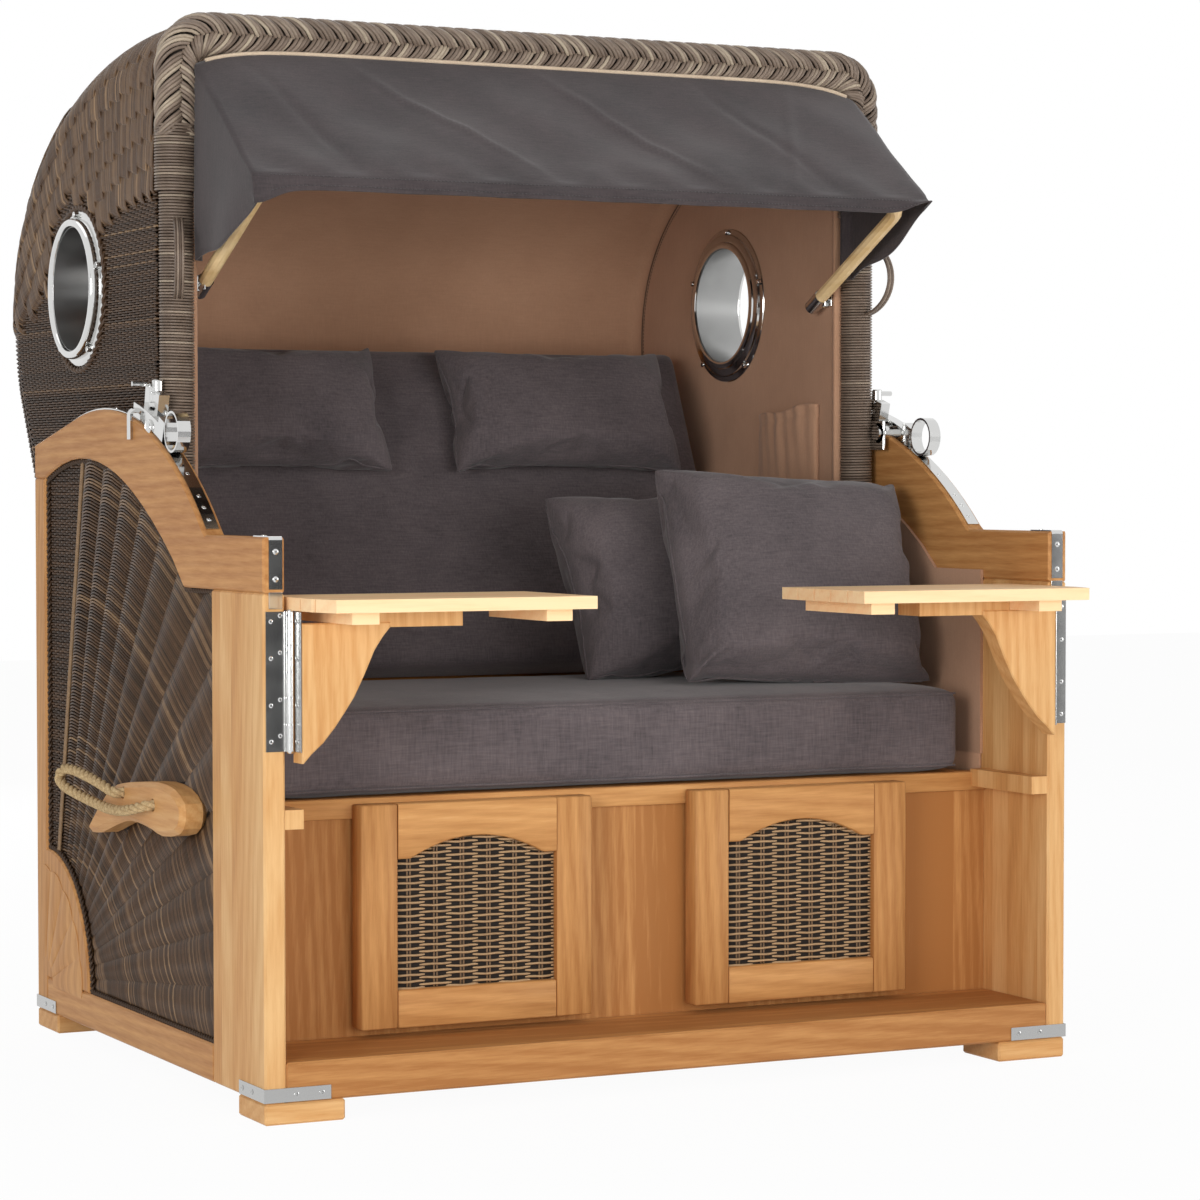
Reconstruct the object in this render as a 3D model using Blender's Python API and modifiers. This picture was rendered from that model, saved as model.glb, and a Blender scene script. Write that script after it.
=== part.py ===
"""Two-seat hooded beach chair, modelled piece by piece in metres with +Z up.

The chair faces -Y. While it is built, y is measured back from the front faces of
the posts; the empty named chair then moves everything so that the origin lies
under the middle of the whole object. Left and right are the viewer's.
"""

from math import acos, asin, atan2, cos, degrees, hypot, pi, radians, sin, tan

import bmesh
import bpy
import numpy as np
from mathutils import Euler, Matrix, Vector
from mathutils.bvhtree import BVHTree

# Clearances
GAP = 0.0003
FORM_GAP = 0.0006
RUNNING_GAP = 0.0008
OVERRUN = 0.01
WELD = 0.000001
TURNED_WELD = 0.00001

# Lower box: two open timber side frames with boards between them
HALF_WIDTH = 0.66
FRAME_THICKNESS = 0.032
BOX_DEPTH = 1.036
FOOT_HEIGHT = 0.030
FOOT_WIDTH = 0.120
FOOT_DEPTH = 0.105
POST_DEPTH = 0.206
POST_TOP = 0.738
ARM_RAIL_HEIGHT = 0.077
STILE_DEPTH = 0.051
STILE_TOP = 0.897
STILE_CAP = 0.054
BOTTOM_RAIL_TOP = 0.085
FAN_RADIUS = 0.210
TIMBER_ROUND = 0.003
ARM_CREST_THICKNESS = 0.075
ARCH_SETBACK = 0.119
ARCH_CREST_SHARE = 0.72
ARCH_FULLNESS_SHARE = 0.85
SIDE_WICKER_THICKNESS = 0.018
SIDE_WICKER_RECESS = 0.010
WEAVE_BANDS = 15
WEAVE_RELIEF = 0.009
SIDE_LINING_THICKNESS = 0.005
SIDE_LINING_OVERLAP = 0.014
SIDE_LINING_SETBACK = 0.019
CLEAT_THICKNESS = 0.028
CLEAT_LENGTH = 0.180
CLEAT_DROP = 0.023
CLEAT_HEIGHT = 0.027
SILL_SETBACK = 0.0233
SILL_TOP = 0.0858

# Seat box
PANEL_THICKNESS = 0.020
SEAT_RAIL_DEPTH = 0.037
SEAT_RAIL_TOP = 0.433
REAR_PANEL_DROP = 0.033
SEAT_BOARD_THICKNESS = 0.018
SEAT_SIDE_THICKNESS = 0.020
SEAT_SIDE_GAP = 0.0027

# Footrests that pull out under the seat
DOOR_CENTRE_X = 0.2725
DOOR_WIDTH = 0.371
DOOR_LIFT = 0.0132
DOOR_TOP_GAP = 0.008
DOOR_REVEAL = 0.008
DOOR_THICKNESS = 0.035
DOOR_STILE = 0.058
DOOR_SILL = 0.055
DOOR_HEAD = 0.080
DOOR_ARCH_RISE = 0.028
DOOR_LEDGE = 0.018
DOOR_WICKER_THICKNESS = 0.010
DOOR_WICKER_RECESS = 0.012
DRAWER_LENGTH = 0.445
DRAWER_WALL = 0.015
DRAWER_MARGIN_X = 0.023
DRAWER_MARGIN_Z = 0.020
FOOTREST_TRAVEL = 0.400

# Hood axle, and the arc along the top of the armrests that is centred on it
AXLE_SETBACK = 0.336
AXLE_Z = 0.336
AXLE_RADIUS = 0.010
AXLE_BOSS_RADIUS = 0.036
GUIDE_RADIUS = 0.667
GUIDE_FRONT_STEP = 0.9
GUIDE_REAR_ANGLE = 13.0
STRIP_WIDTH = 0.020
STRIP_THICKNESS = 0.002
RECLINE_LIMIT = 25.0

# Hood
HOOD_SIDE_GAP = 0.008
HOOD_TOP_DROP = 0.010
HOOD_SHOULDER_AHEAD = 0.100
HOOD_BACK_BEHIND = 0.630
HOOD_BACK_Z = 1.140
HOOD_ROUNDNESS = 2.2
TUCK_HALF_DEPTH = 0.450
TUCK_HALF_HEIGHT = 0.350
TUCK_ANGLE = 23.5
TAIL_SLOPE = 0.560
TAIL_Z = 0.500
HOOD_CORNER = 0.085
HOOD_WALL = 0.025
HOOD_SIDE_FOOT_Z = 0.860
HOOD_SIDE_THICKNESS = 0.060
SHINGLE_ROWS = 6
SHINGLE_PITCH = 0.042
SHINGLE_LAP = 0.002
SHINGLE_LIFT = 0.0055
SHINGLE_SINK = 0.006
SHINGLE_SETBACK = 0.002
SHINGLE_TOP_DROP = 0.003
SHINGLE_CENTRE_BEHIND = 0.012
SHINGLE_CENTRE_BELOW = 0.990
SHINGLE_ABOVE_PORT = 0.150
SHINGLE_AHEAD_OF_PORT = 0.115
SHINGLE_STEPS = 7
HOOD_ARM_THICKNESS = 0.022
HOOD_ARM_REAR_SHARE = 0.75

# Hood rim: wrapped side tubes, with a thick plait over the top
RIM_AHEAD = 0.170
RIM_RADIUS = 0.0255
PLAIT_RADIUS = 0.0325
HOOD_HEIGHT = 1.600
RIM_CORNER = 0.050
GRIP_RADIUS = 0.006
GRIP_TOP = 1.290
GRIP_BOTTOM = 1.165
GRIP_REACH_Y = 0.075
GRIP_REACH_X = 0.022

# Portholes
PORT_BEHIND = 0.215
PORT_Z = 1.200
PORT_BORE_RADIUS = 0.099
PORT_TUBE_WALL = 0.0035
PORT_RING_RADIUS = 0.1135
PORT_RING_PROUD = 0.018
PORT_RING_ROUND = 0.006
PORT_FLANGE_RADIUS = 0.1335
PORT_FLANGE_DEPTH = 0.014

# Clamps that slide on the guide strips
CLAMP_FRONT_ANGLE = -23.7
CLAMP_REAR_ANGLE = -12.0
CLAMP_HEIGHT = 0.021
CLAMP_EAR_ANGLE = 2.2
CLAMP_PLATE_HEIGHT = 0.046
LEVER_ROD_RADIUS = 0.004
LEVER_REACH = 0.041
LEVER_DROP = 0.044
LEVER_HEIGHT = 0.036
LOOP_RADIUS = 0.031
LOOP_BAND = 0.0035
LOOP_LIFT = 60.0

# Awning and its bow
BOW_SIDE_GAP = 0.020
BOW_RADIUS = 0.011
BOW_PIVOT_SETBACK = 0.043
BOW_PIVOT_Z = 1.187
BOW_REACH = 0.290
BOW_RISE = 0.148
BOW_BEND = 0.045
BOW_PIN_RADIUS = 0.006
BOW_LIFT = 40.0
AWNING_SIDE_GAP = 0.0225
AWNING_THICKNESS = 0.003
AWNING_OVERHANG = 0.022
AWNING_HEM = 0.030
AWNING_CORNER_DROP = 0.024
AWNING_SAG = 0.006
AWNING_SAG_SHARE = 0.85
AWNING_ROW_SHARES = (0, 0.25, 0.5, 0.75, 0.9, 1)
AWNING_HEM_SHARES = (0.5, 1.0)
AWNING_FLAP_LENGTH = 0.280
AWNING_WAVE = 0.005
AWNING_WAVES = 7

# Rope handles on the sides
BLOCK_SETBACK = 0.044
BLOCK_LENGTH = 0.423
BLOCK_BOTTOM = 0.351
BLOCK_HEIGHT = 0.100
BLOCK_THICKNESS = 0.042
BLOCK_ROUND = 0.008
BLOCK_OUTLINE_SHARES = [
    (1.0, 0.0), (0.896, 0.03), (0.782, 0.15), (0.626, 0.30), (0.496, 0.33), (0.348, 0.28),
    (0.234, 0.22), (0.061, 0.31), (0.0, 0.51), (0.007, 0.77), (0.109, 0.95), (0.272, 1.0),
    (0.473, 0.94), (0.645, 0.87), (0.80, 0.71), (1.0, 0.15),
]
ROPE_RADIUS = 0.008
ROPE_HOLE_SHARES = [(0.284, 0.66), (0.605, 0.74)]
ROPE_HOLE_DEPTH = 0.025
ROPE_HOLE_CLEARANCE = 0.0015
# The rope's route from its front hole: out in rope radii, back and up in steps from hole to hole
ROPE_ROUTE_SHARES = [
    (-3.0, 0.00, 0.0), (-1.2, 0.00, 0.0), (0.4, 0.00, 0.0), (1.7, 0.08, -0.3), (2.4, 0.30, -1.1),
    (2.5, 0.66, -1.8), (2.5, 1.10, -1.9), (2.8, 1.55, -1.3), (3.5, 2.02, -0.3), (4.0, 2.37, 0.8),
    (4.0, 2.53, 2.3), (3.5, 2.43, 3.8), (3.1, 2.14, 3.9), (2.7, 1.72, 3.2), (2.3, 1.36, 2.3),
    (1.6, 1.08, 1.2), (0.4, 1.00, 1.0), (-1.2, 1.00, 1.0), (-3.0, 1.00, 1.0),
]

# Swing-out tables
TABLE_LENGTH = 0.406
TABLE_SIDE_GAP = 0.0015
TABLE_FRONT = -0.140
TABLE_DEPTH = 0.244
TABLE_DROP = 0.006
SLAT_THICKNESS = 0.018
SLAT_COUNT = 5
SLAT_GAP = 0.003
TABLE_CORNER_X = 0.014
TABLE_CORNER_Y = 0.057
BATTEN_WIDTH = 0.040
BATTEN_THICKNESS = 0.017
BATTEN_MARGIN = 0.025
BATTEN_INSET_SHARES = (0.115, 0.835)
BATTEN_SINK = 0.0005
HINGE_AXIS_INSET = 0.0045
HINGE_AXIS_STEP = 0.0020
HINGE_BARREL_RADIUS = 0.0055
HINGE_BOTTOM = 0.519
HINGE_LEAF_WIDTH = 0.034
HINGE_LEAF_THICKNESS = 0.003
HINGE_TOP_CLEARANCE = 0.0015
BRACKET_THICKNESS = 0.035
BRACKET_HEAD_BACK = 0.030
BRACKET_HEAD_HEIGHT = 0.024
BRACKET_HEAD_LENGTH = 0.160
BRACKET_REACH = 0.132
BRACKET_DROP = 0.186
BRACKET_OUTLINE_SHARES = [
    (1.0, 0.0), (0.92, 0.065), (0.82, 0.17), (0.71, 0.345), (0.59, 0.515), (0.48, 0.63),
    (0.37, 0.74), (0.24, 0.85), (0.11, 0.93), (0.02, 1.0),
]
TABLE_SWING = 90.0

# Cushions
SEAT_CUSHION_OVERHANG = 0.018
SEAT_BACK_BEHIND = 0.095
SEAT_CUSHION_STEP = 0.002
SEAT_CUSHION_SIDE_GAP = 0.003
SEAT_CUSHION_EDGE = 0.121
SEAT_CROWN = 0.014
BACK_LEAN = 25.0
BACK_FOOT_BEHIND = 0.106
BACK_FOOT_LIFT = 0.030
BACK_CUSHION_SIDE_GAP = 0.030
BACK_CUSHION_LENGTH = 0.600
BACK_CUSHION_EDGE = 0.090
BACK_CROWN = 0.016
BACKREST_THICKNESS = 0.018
BACKREST_BELOW = 0.060
BACKREST_ABOVE = 0.030
NECK_WIDTH = 0.440
NECK_HEIGHT = 0.245
NECK_EDGE = 0.014
NECK_CROWN = 0.036
NECK_EARS = 0.006
NECK_CENTRE_SHARES = (-0.566, 0.462)
NECK_UP_SHARE = 0.745
SQUARE_WIDTH = 0.460
SQUARE_HEIGHT = 0.390
SQUARE_EDGE = 0.016
SQUARE_CROWN = 0.055
SQUARE_EARS = 0.008
# Each square pillow's middle, as shares of the seat cushion's half width and depth
SQUARE_PLACE_SHARES = [(0.638, 0.310), (0.448, 0.629)]
SQUARE_SIZE_SHARES = (1.0, 0.87)
SQUARE_TILTS = (24.0, 26.0)
SQUARE_SPINS = (-3.0, 2.0)

# Finishes: red, green, blue, roughness and metallic
FINISHES = {
    "teak": (0.60, 0.33, 0.12, 0.55, 0.0),
    "wicker": (0.085, 0.062, 0.048, 0.50, 0.0),
    "lining": (0.25, 0.155, 0.098, 0.85, 0.0),
    "charcoal": (0.105, 0.095, 0.098, 0.90, 0.0),
    "steel": (0.62, 0.62, 0.62, 0.18, 1.0),
    "rope": (0.62, 0.47, 0.27, 0.90, 0.0),
    "cane": (0.70, 0.52, 0.25, 0.45, 0.0),
}

# Places worked out from the sizes above, across the chair
INNER_FACE = HALF_WIDTH - FRAME_THICKNESS
HOOD_HALF_WIDTH = INNER_FACE - HOOD_SIDE_GAP
LINING_INNER_HALF = HOOD_HALF_WIDTH - HOOD_SIDE_THICKNESS
SEAT_SIDE_OUTER = HOOD_HALF_WIDTH - GAP - HOOD_ARM_THICKNESS - SEAT_SIDE_GAP
SEAT_CUSHION_HALF = SEAT_SIDE_OUTER - SEAT_CUSHION_SIDE_GAP
BACK_CUSHION_HALF = LINING_INNER_HALF - BACK_CUSHION_SIDE_GAP
BOW_X = LINING_INNER_HALF - BOW_SIDE_GAP
RIM_X = HOOD_HALF_WIDTH - RIM_RADIUS
AWNING_HALF_WIDTH = RIM_X - AWNING_SIDE_GAP
HINGE_AXIS_X = INNER_FACE - HINGE_AXIS_INSET
TABLE_OUTER_X = HINGE_AXIS_X - TABLE_SIDE_GAP
TABLE_INNER_X = TABLE_OUTER_X - TABLE_LENGTH

# From front to back
SILL_DEPTH = POST_DEPTH - SILL_SETBACK
PANEL_FRONT = SILL_DEPTH + GAP
DOOR_FRONT = PANEL_FRONT - DOOR_REVEAL - DOOR_THICKNESS
ARCH_START_Y = POST_DEPTH + ARCH_SETBACK
BLOCK_FRONT = POST_DEPTH + BLOCK_SETBACK
SIDE_LINING_FRONT = POST_DEPTH - SIDE_LINING_SETBACK
AXLE_Y = BOX_DEPTH - AXLE_SETBACK
SEAT_BOARD_BACK = AXLE_Y + SEAT_BACK_BEHIND
SEAT_CUSHION_FRONT = PANEL_FRONT - SEAT_CUSHION_OVERHANG
SEAT_CUSHION_BACK = SEAT_BOARD_BACK - SEAT_CUSHION_STEP
BACK_FOOT_Y = AXLE_Y + BACK_FOOT_BEHIND
HOOD_SHOULDER_Y = AXLE_Y - HOOD_SHOULDER_AHEAD
HOOD_BACK_Y = AXLE_Y + HOOD_BACK_BEHIND
PORT_Y = AXLE_Y + PORT_BEHIND
RIM_Y = AXLE_Y - RIM_AHEAD
SHELL_FRONT = RIM_Y + PLAIT_RADIUS + GAP
BOW_PIVOT_Y = RIM_Y + BOW_PIVOT_SETBACK
HINGE_AXIS_Y = -HINGE_BARREL_RADIUS - HINGE_AXIS_STEP

# Upwards
ARM_FRONT_TOP = POST_TOP + ARM_RAIL_HEIGHT
ARM_REAR_TOP = STILE_TOP + STILE_CAP
ARCH_CREST = AXLE_Z + GUIDE_RADIUS - ARM_CREST_THICKNESS
TABLE_TOP = POST_TOP - TABLE_DROP
CLEAT_BOTTOM = SEAT_RAIL_TOP - CLEAT_DROP
REAR_PANEL_TOP = SEAT_RAIL_TOP - REAR_PANEL_DROP
DOOR_BOTTOM = SILL_TOP + DOOR_LIFT
DOOR_HEIGHT = SEAT_RAIL_TOP - DOOR_TOP_GAP - DOOR_BOTTOM
DOOR_SHOULDER = DOOR_HEIGHT - DOOR_HEAD
BACK_FOOT_Z = SEAT_RAIL_TOP + SEAT_CUSHION_EDGE + BACK_FOOT_LIFT
HOOD_TOP = HOOD_HEIGHT - HOOD_TOP_DROP
GUIDE_FRONT_ANGLE = GUIDE_FRONT_STEP - degrees(acos((ARM_FRONT_TOP - AXLE_Z) / GUIDE_RADIUS))
SIDES = (("left", -1), ("right", 1))


# Scene, materials and placing

def clear_scene():
    for item in list(bpy.data.objects):
        bpy.data.objects.remove(item, do_unlink=True)


def new_collection(name):
    group = bpy.data.collections.new(name)
    bpy.context.scene.collection.children.link(group)
    return group


def make_finishes():
    made = {}
    for name, (red, green, blue, rough, metal) in FINISHES.items():
        finish = bpy.data.materials.new(name)
        finish.use_nodes = True
        shader = finish.node_tree.nodes["Principled BSDF"]
        shader.inputs["Base Color"].default_value = (red, green, blue, 1)
        shader.inputs["Roughness"].default_value = rough
        shader.inputs["Metallic"].default_value = metal
        made[name] = finish
    return made


def new_pivot(name, place, limit=0.0):
    """An empty on a joint's axis, at a place in the chair's frame, with how far the joint goes."""
    empty = bpy.data.objects.new(name, None)
    empty.location = place
    empty["limit"] = limit
    PARTS.objects.link(empty)
    if name != "chair":
        empty.parent = CHAIR
    return empty


def add(name, mesh, finish, pivot=None):
    """A piece whose mesh is in the chair's frame, carried by the empty on its axis."""
    piece = bpy.data.objects.new(name, mesh)
    PARTS.objects.link(piece)
    if finish:
        mesh.materials.append(MATERIALS[finish])
    hang(piece, pivot or CHAIR)
    return piece


def hang(piece, pivot):
    piece.parent = pivot
    if pivot is not CHAIR:
        piece.matrix_parent_inverse = Matrix.Translation(pivot.location).inverted()


def evaluated_mesh(piece):
    bpy.context.view_layer.update()
    graph = bpy.context.evaluated_depsgraph_get()
    return bpy.data.meshes.new_from_object(piece.evaluated_get(graph))


def as_mesh(piece):
    """The piece with its curve and modifiers worked out, its doubles merged and its faces outwards."""
    mesh = evaluated_mesh(piece)
    shape = bmesh.new()
    shape.from_mesh(mesh)
    shape.transform(piece.matrix_basis)
    bmesh.ops.remove_doubles(shape, verts=shape.verts, dist=WELD)
    bmesh.ops.recalc_face_normals(shape, faces=shape.faces)
    shape.to_mesh(mesh)
    shape.free()
    bpy.data.objects.remove(piece)
    return mesh


# Shapes

def box_mesh(low, high):
    shape = bmesh.new()
    bmesh.ops.create_cube(shape, size=1)
    low, high = Vector(low), Vector(high)
    size = Matrix.Diagonal((high - low).to_4d())
    size[3][3] = 1
    bmesh.ops.transform(shape, verts=shape.verts, matrix=Matrix.Translation((low + high) / 2) @ size)
    mesh = bpy.data.meshes.new("box")
    shape.to_mesh(mesh)
    shape.free()
    return mesh


def box(name, low, high, finish, pivot=None, rounded=0):
    piece = add(name, box_mesh(low, high), finish, pivot)
    if rounded:
        soften(piece, rounded)
    return piece


def side_box(name, side, inner, outer, low, high, finish, pivot=None, rounded=0):
    """A box from the inner to the outer distance from the middle plane, on one side."""
    near, far = sorted((side * inner, side * outer))
    return box(name, (near, *low), (far, *high), finish, pivot, rounded)


def soften(piece, width, segments=1, angle=40):
    bevel = piece.modifiers.new("rounded edges", "BEVEL")
    bevel.width = width
    bevel.segments = segments
    bevel.limit_method = "ANGLE"
    bevel.angle_limit = radians(angle)
    bevel.use_clamp_overlap = True
    return bevel


PLANES = {
    "x": Matrix(((0, 0, 1), (1, 0, 0), (0, 1, 0))).to_4x4(),
    "y": Matrix(((1, 0, 0), (0, 0, -1), (0, 1, 0))).to_4x4(),
    "z": Matrix.Identity(4),
}


def plate_mesh(outlines, low, high, along):
    """Flat outlines, the first outside and the rest holes, as thick as from low to high along an axis."""
    curve = bpy.data.curves.new("outline", "CURVE")
    curve.dimensions = "2D"
    curve.fill_mode = "BOTH"
    curve.extrude = abs(high - low) / 2
    for outline in outlines:
        spline = curve.splines.new("POLY")
        spline.points.add(len(outline) - 1)
        for point, (a, b) in zip(spline.points, outline):
            point.co = (a, b, 0, 1)
        spline.use_cyclic_u = True
    piece = bpy.data.objects.new("outline", curve)
    PARTS.objects.link(piece)
    middle = (low + high) / 2
    shift = {"x": (middle, 0, 0), "y": (0, middle, 0), "z": (0, 0, middle)}[along]
    piece.matrix_basis = Matrix.Translation(shift) @ PLANES[along]
    mesh = as_mesh(piece)
    shape = bmesh.new()
    shape.from_mesh(mesh)
    bmesh.ops.dissolve_limit(shape, angle_limit=radians(0.5), verts=shape.verts, edges=shape.edges)
    shape.to_mesh(mesh)
    shape.free()
    return mesh


def plate(name, outlines, low, high, along, finish, pivot=None, rounded=0):
    """A flat piece; only the rims of its two faces are eased, not the corners of its outline."""
    piece = add(name, plate_mesh(outlines, low, high, along), finish, pivot)
    if rounded:
        bevel = soften(piece, rounded)
        bevel.limit_method = "WEIGHT"
        axis = "xyz".index(along)
        shape = bmesh.new()
        shape.from_mesh(piece.data)
        weight = shape.edges.layers.float.new("bevel_weight_edge")
        for edge in shape.edges:
            leans = sorted(abs(face.normal[axis]) for face in edge.link_faces)
            edge[weight] = float(leans[0] < 0.5 < leans[-1])
        shape.to_mesh(piece.data)
        shape.free()
    return piece


def side_plate(name, side, outlines, inner, outer, finish, pivot=None, rounded=0):
    low, high = sorted((side * inner, side * outer))
    return plate(name, outlines, low, high, "x", finish, pivot, rounded)


def tube_mesh(points, radius, sides=2, shares=None, cyclic=False):
    """A round bar along points; shares scale its radius at each of them."""
    curve = bpy.data.curves.new("bar", "CURVE")
    curve.dimensions = "3D"
    curve.bevel_depth = radius
    curve.bevel_resolution = sides
    curve.use_fill_caps = True
    spline = curve.splines.new("POLY")
    spline.points.add(len(points) - 1)
    for i, place in enumerate(points):
        spline.points[i].co = (*place, 1)
        if shares is not None:
            spline.points[i].radius = shares[i]
    spline.use_cyclic_u = cyclic
    piece = bpy.data.objects.new("bar", curve)
    PARTS.objects.link(piece)
    return as_mesh(piece)


def tube(name, points, radius, finish, pivot=None, sides=2, shares=None):
    mesh = tube_mesh(points, radius, sides, shares)
    mesh.shade_smooth()
    mesh.set_sharp_from_angle(angle=radians(50))
    return add(name, mesh, finish, pivot)


def rounded_path(corners, radii, steps=6):
    """A path through corners, each rounded to its radius with an arc."""
    corners = [Vector(corner) for corner in corners]
    path = [corners[0]]
    for before, corner, after, radius in zip(corners, corners[1:], corners[2:], radii):
        back, ahead = (before - corner).normalized(), (after - corner).normalized()
        half = back.angle(ahead) / 2
        reach = radius / tan(half)
        start, axis = corner + back * reach, back.cross(ahead).normalized()
        centre = corner + (back + ahead).normalized() * radius / sin(half)
        turn = pi - 2 * half
        arm = start - centre
        for step in range(steps + 1):
            path.append(centre + Matrix.Rotation(-turn * step / steps, 3, axis) @ arm)
    path.append(corners[-1])
    return path


def smooth_path(points, steps):
    """A smooth curve through hand-chosen points, cubic between each two of them."""
    data = np.array(points, float)
    padded = np.vstack([2 * data[0] - data[1], data, 2 * data[-1] - data[-2]])
    t = np.linspace(0, 1, steps, endpoint=False)[:, None]
    runs = []
    for a, b, c, d in zip(padded, padded[1:], padded[2:], padded[3:]):
        runs.append(0.5 * (2 * b + (c - a) * t + (2 * a - 5 * b + 4 * c - d) * t**2
                           + (3 * b - a - 3 * c + d) * t**3))
    return np.vstack([*runs, data[-1:]])


def turned_mesh(profile, steps):
    """A closed profile of (radius, height) turned about local Z."""
    mesh = bpy.data.meshes.new("profile")
    count = len(profile)
    points = [(radius, 0, height) for radius, height in profile]
    mesh.from_pydata(points, [(i, (i + 1) % count) for i in range(count)], [])
    piece = bpy.data.objects.new("profile", mesh)
    PARTS.objects.link(piece)
    screw = piece.modifiers.new("turned", "SCREW")
    screw.axis = "Z"
    screw.steps = screw.render_steps = steps
    screw.use_merge_vertices = True
    screw.merge_threshold = TURNED_WELD
    return as_mesh(piece)


def cylinder_mesh(centre, radius, low, high, along, segments=24):
    shape = bmesh.new()
    bmesh.ops.create_cone(shape, cap_ends=True, segments=segments, radius1=radius, radius2=radius,
                          depth=high - low)
    turn = {"x": Euler((0, pi / 2, 0)), "y": Euler((pi / 2, 0, 0)), "z": Euler((0, 0, 0))}[along]
    shift = Vector(centre)
    shift["xyz".index(along)] = (low + high) / 2
    bmesh.ops.transform(shape, verts=shape.verts,
                        matrix=Matrix.Translation(shift) @ turn.to_matrix().to_4x4())
    mesh = bpy.data.meshes.new("cylinder")
    shape.to_mesh(mesh)
    shape.free()
    return mesh


def combine(piece, mesh, operation):
    """Cut a mesh from the piece, or join it on, and keep the helper in its own collection."""
    helper = bpy.data.objects.new(f"{piece.name}_{operation.lower()}", mesh)
    CUTTERS.objects.link(helper)
    hang(helper, piece.parent)
    helper.hide_render = True
    helper.display_type = "WIRE"
    step = piece.modifiers.new(operation.lower(), "BOOLEAN")
    step.operation = operation
    step.solver = "EXACT"
    step.object = helper
    return piece


def cut(piece, mesh):
    return combine(piece, mesh, "DIFFERENCE")


def join(piece, mesh):
    return combine(piece, mesh, "UNION")


def smooth_shaded(piece, angle=35):
    piece.data.shade_smooth()
    piece.data.set_sharp_from_angle(angle=radians(angle))
    return piece


# Places on the guide arc, by the angle from straight above the axle

def on_arc(angle, height=0.0):
    reach = GUIDE_RADIUS + height
    return (AXLE_Y + reach * sin(radians(angle)), AXLE_Z + reach * cos(radians(angle)))


def arc_run(start, end, height, steps):
    return [on_arc(angle, height) for angle in np.linspace(start, end, steps)]


def arch_line(drop=0.0, steps=16):
    """Under side of the armrest from the post to the rear stile: flat, then a rising arch."""
    start, end = ARCH_START_Y, BOX_DEPTH - STILE_DEPTH
    run = end - start
    points = []
    for share in np.linspace(0, 1, steps):
        rise = sin(pi / 2 * min(1.0, share / ARCH_CREST_SHARE)) ** ARCH_FULLNESS_SHARE
        fall = max(0.0, share - ARCH_CREST_SHARE) / (1 - ARCH_CREST_SHARE)
        height = POST_TOP + (ARCH_CREST - POST_TOP) * rise - (ARCH_CREST - STILE_TOP) * fall**2
        points.append((start + run * share, height - drop))
    return points


# Lower box

def side_frame(name, side):
    outer, inner = HALF_WIDTH, INNER_FACE
    back = BOX_DEPTH - STILE_DEPTH
    post = side_box(f"front_post_{name}", side, inner, outer, (0, FOOT_HEIGHT + GAP),
                    (POST_DEPTH, POST_TOP - GAP), "teak", rounded=TIMBER_ROUND)
    near, far = sorted((side * (inner - CLEAT_THICKNESS), side * (inner + OVERRUN)))
    join(post, box_mesh((near, TIMBER_ROUND, CLEAT_BOTTOM),
                        (far, CLEAT_LENGTH, CLEAT_BOTTOM + CLEAT_HEIGHT)))

    low = BOTTOM_RAIL_TOP + GAP
    fan = [(back - FAN_RADIUS * cos(turn), low + FAN_RADIUS * sin(turn))
           for turn in np.linspace(0, pi / 2, 13)]
    stile = [(back, FOOT_HEIGHT + GAP), (BOX_DEPTH, FOOT_HEIGHT + GAP), (BOX_DEPTH, STILE_TOP - GAP),
             (back, STILE_TOP - GAP), *reversed(fan), (back, low)]
    side_plate(f"rear_stile_{name}", side, [stile], inner, outer, "teak", rounded=TIMBER_ROUND)

    side_box(f"bottom_rail_{name}", side, inner, outer, (POST_DEPTH + GAP, FOOT_HEIGHT + GAP),
             (back - GAP, BOTTOM_RAIL_TOP), "teak", rounded=TIMBER_ROUND)

    top = [(0, ARM_FRONT_TOP), *arc_run(GUIDE_FRONT_ANGLE, GUIDE_REAR_ANGLE, 0, 22),
           (BOX_DEPTH, ARM_REAR_TOP)]
    flat = AXLE_Y - (GUIDE_RADIUS**2 - (ARM_FRONT_TOP - AXLE_Z) ** 2) ** 0.5 - TIMBER_ROUND
    top.insert(1, (flat, ARM_FRONT_TOP))
    under = [(BOX_DEPTH, STILE_TOP), *reversed(arch_line()), (0, POST_TOP)]
    side_plate(f"arm_rail_{name}", side, [top + under], inner, outer, "teak", rounded=TIMBER_ROUND)


def side_skins(name, side):
    """The woven infill of a side frame and the thin upholstered lining on its inner face."""
    low, back = BOTTOM_RAIL_TOP + GAP, BOX_DEPTH - STILE_DEPTH - GAP
    fan = [(back + GAP - (FAN_RADIUS + FORM_GAP) * cos(turn), low + (FAN_RADIUS + FORM_GAP) * sin(turn))
           for turn in np.linspace(0, pi / 2, 13)]
    arch = [(y, z) for y, z in arch_line(FORM_GAP) if y < back]
    top = [(POST_DEPTH + GAP, POST_TOP - FORM_GAP), *arch, (back, STILE_TOP - FORM_GAP)]
    outline = [(POST_DEPTH + GAP, low), *fan[:-1], (back, fan[-1][1]), *reversed(top)]
    outer = HALF_WIDTH - SIDE_WICKER_RECESS
    wicker = side_plate(f"side_wicker_{name}", side, [outline], outer - SIDE_WICKER_THICKNESS, outer, "wicker")
    cut(wicker, weave_grooves(side))

    start = SIDE_LINING_FRONT
    face = INNER_FACE - GAP
    upper = [(start, POST_TOP + SIDE_LINING_OVERLAP), *arch_line(-SIDE_LINING_OVERLAP)]
    lining = [(start, SEAT_RAIL_TOP + CLEAT_HEIGHT), (BOX_DEPTH - STILE_DEPTH, SEAT_RAIL_TOP + CLEAT_HEIGHT),
              *reversed(upper)]
    side_plate(f"side_lining_{name}", side, [lining], face - SIDE_LINING_THICKNESS, face, "lining")


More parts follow.
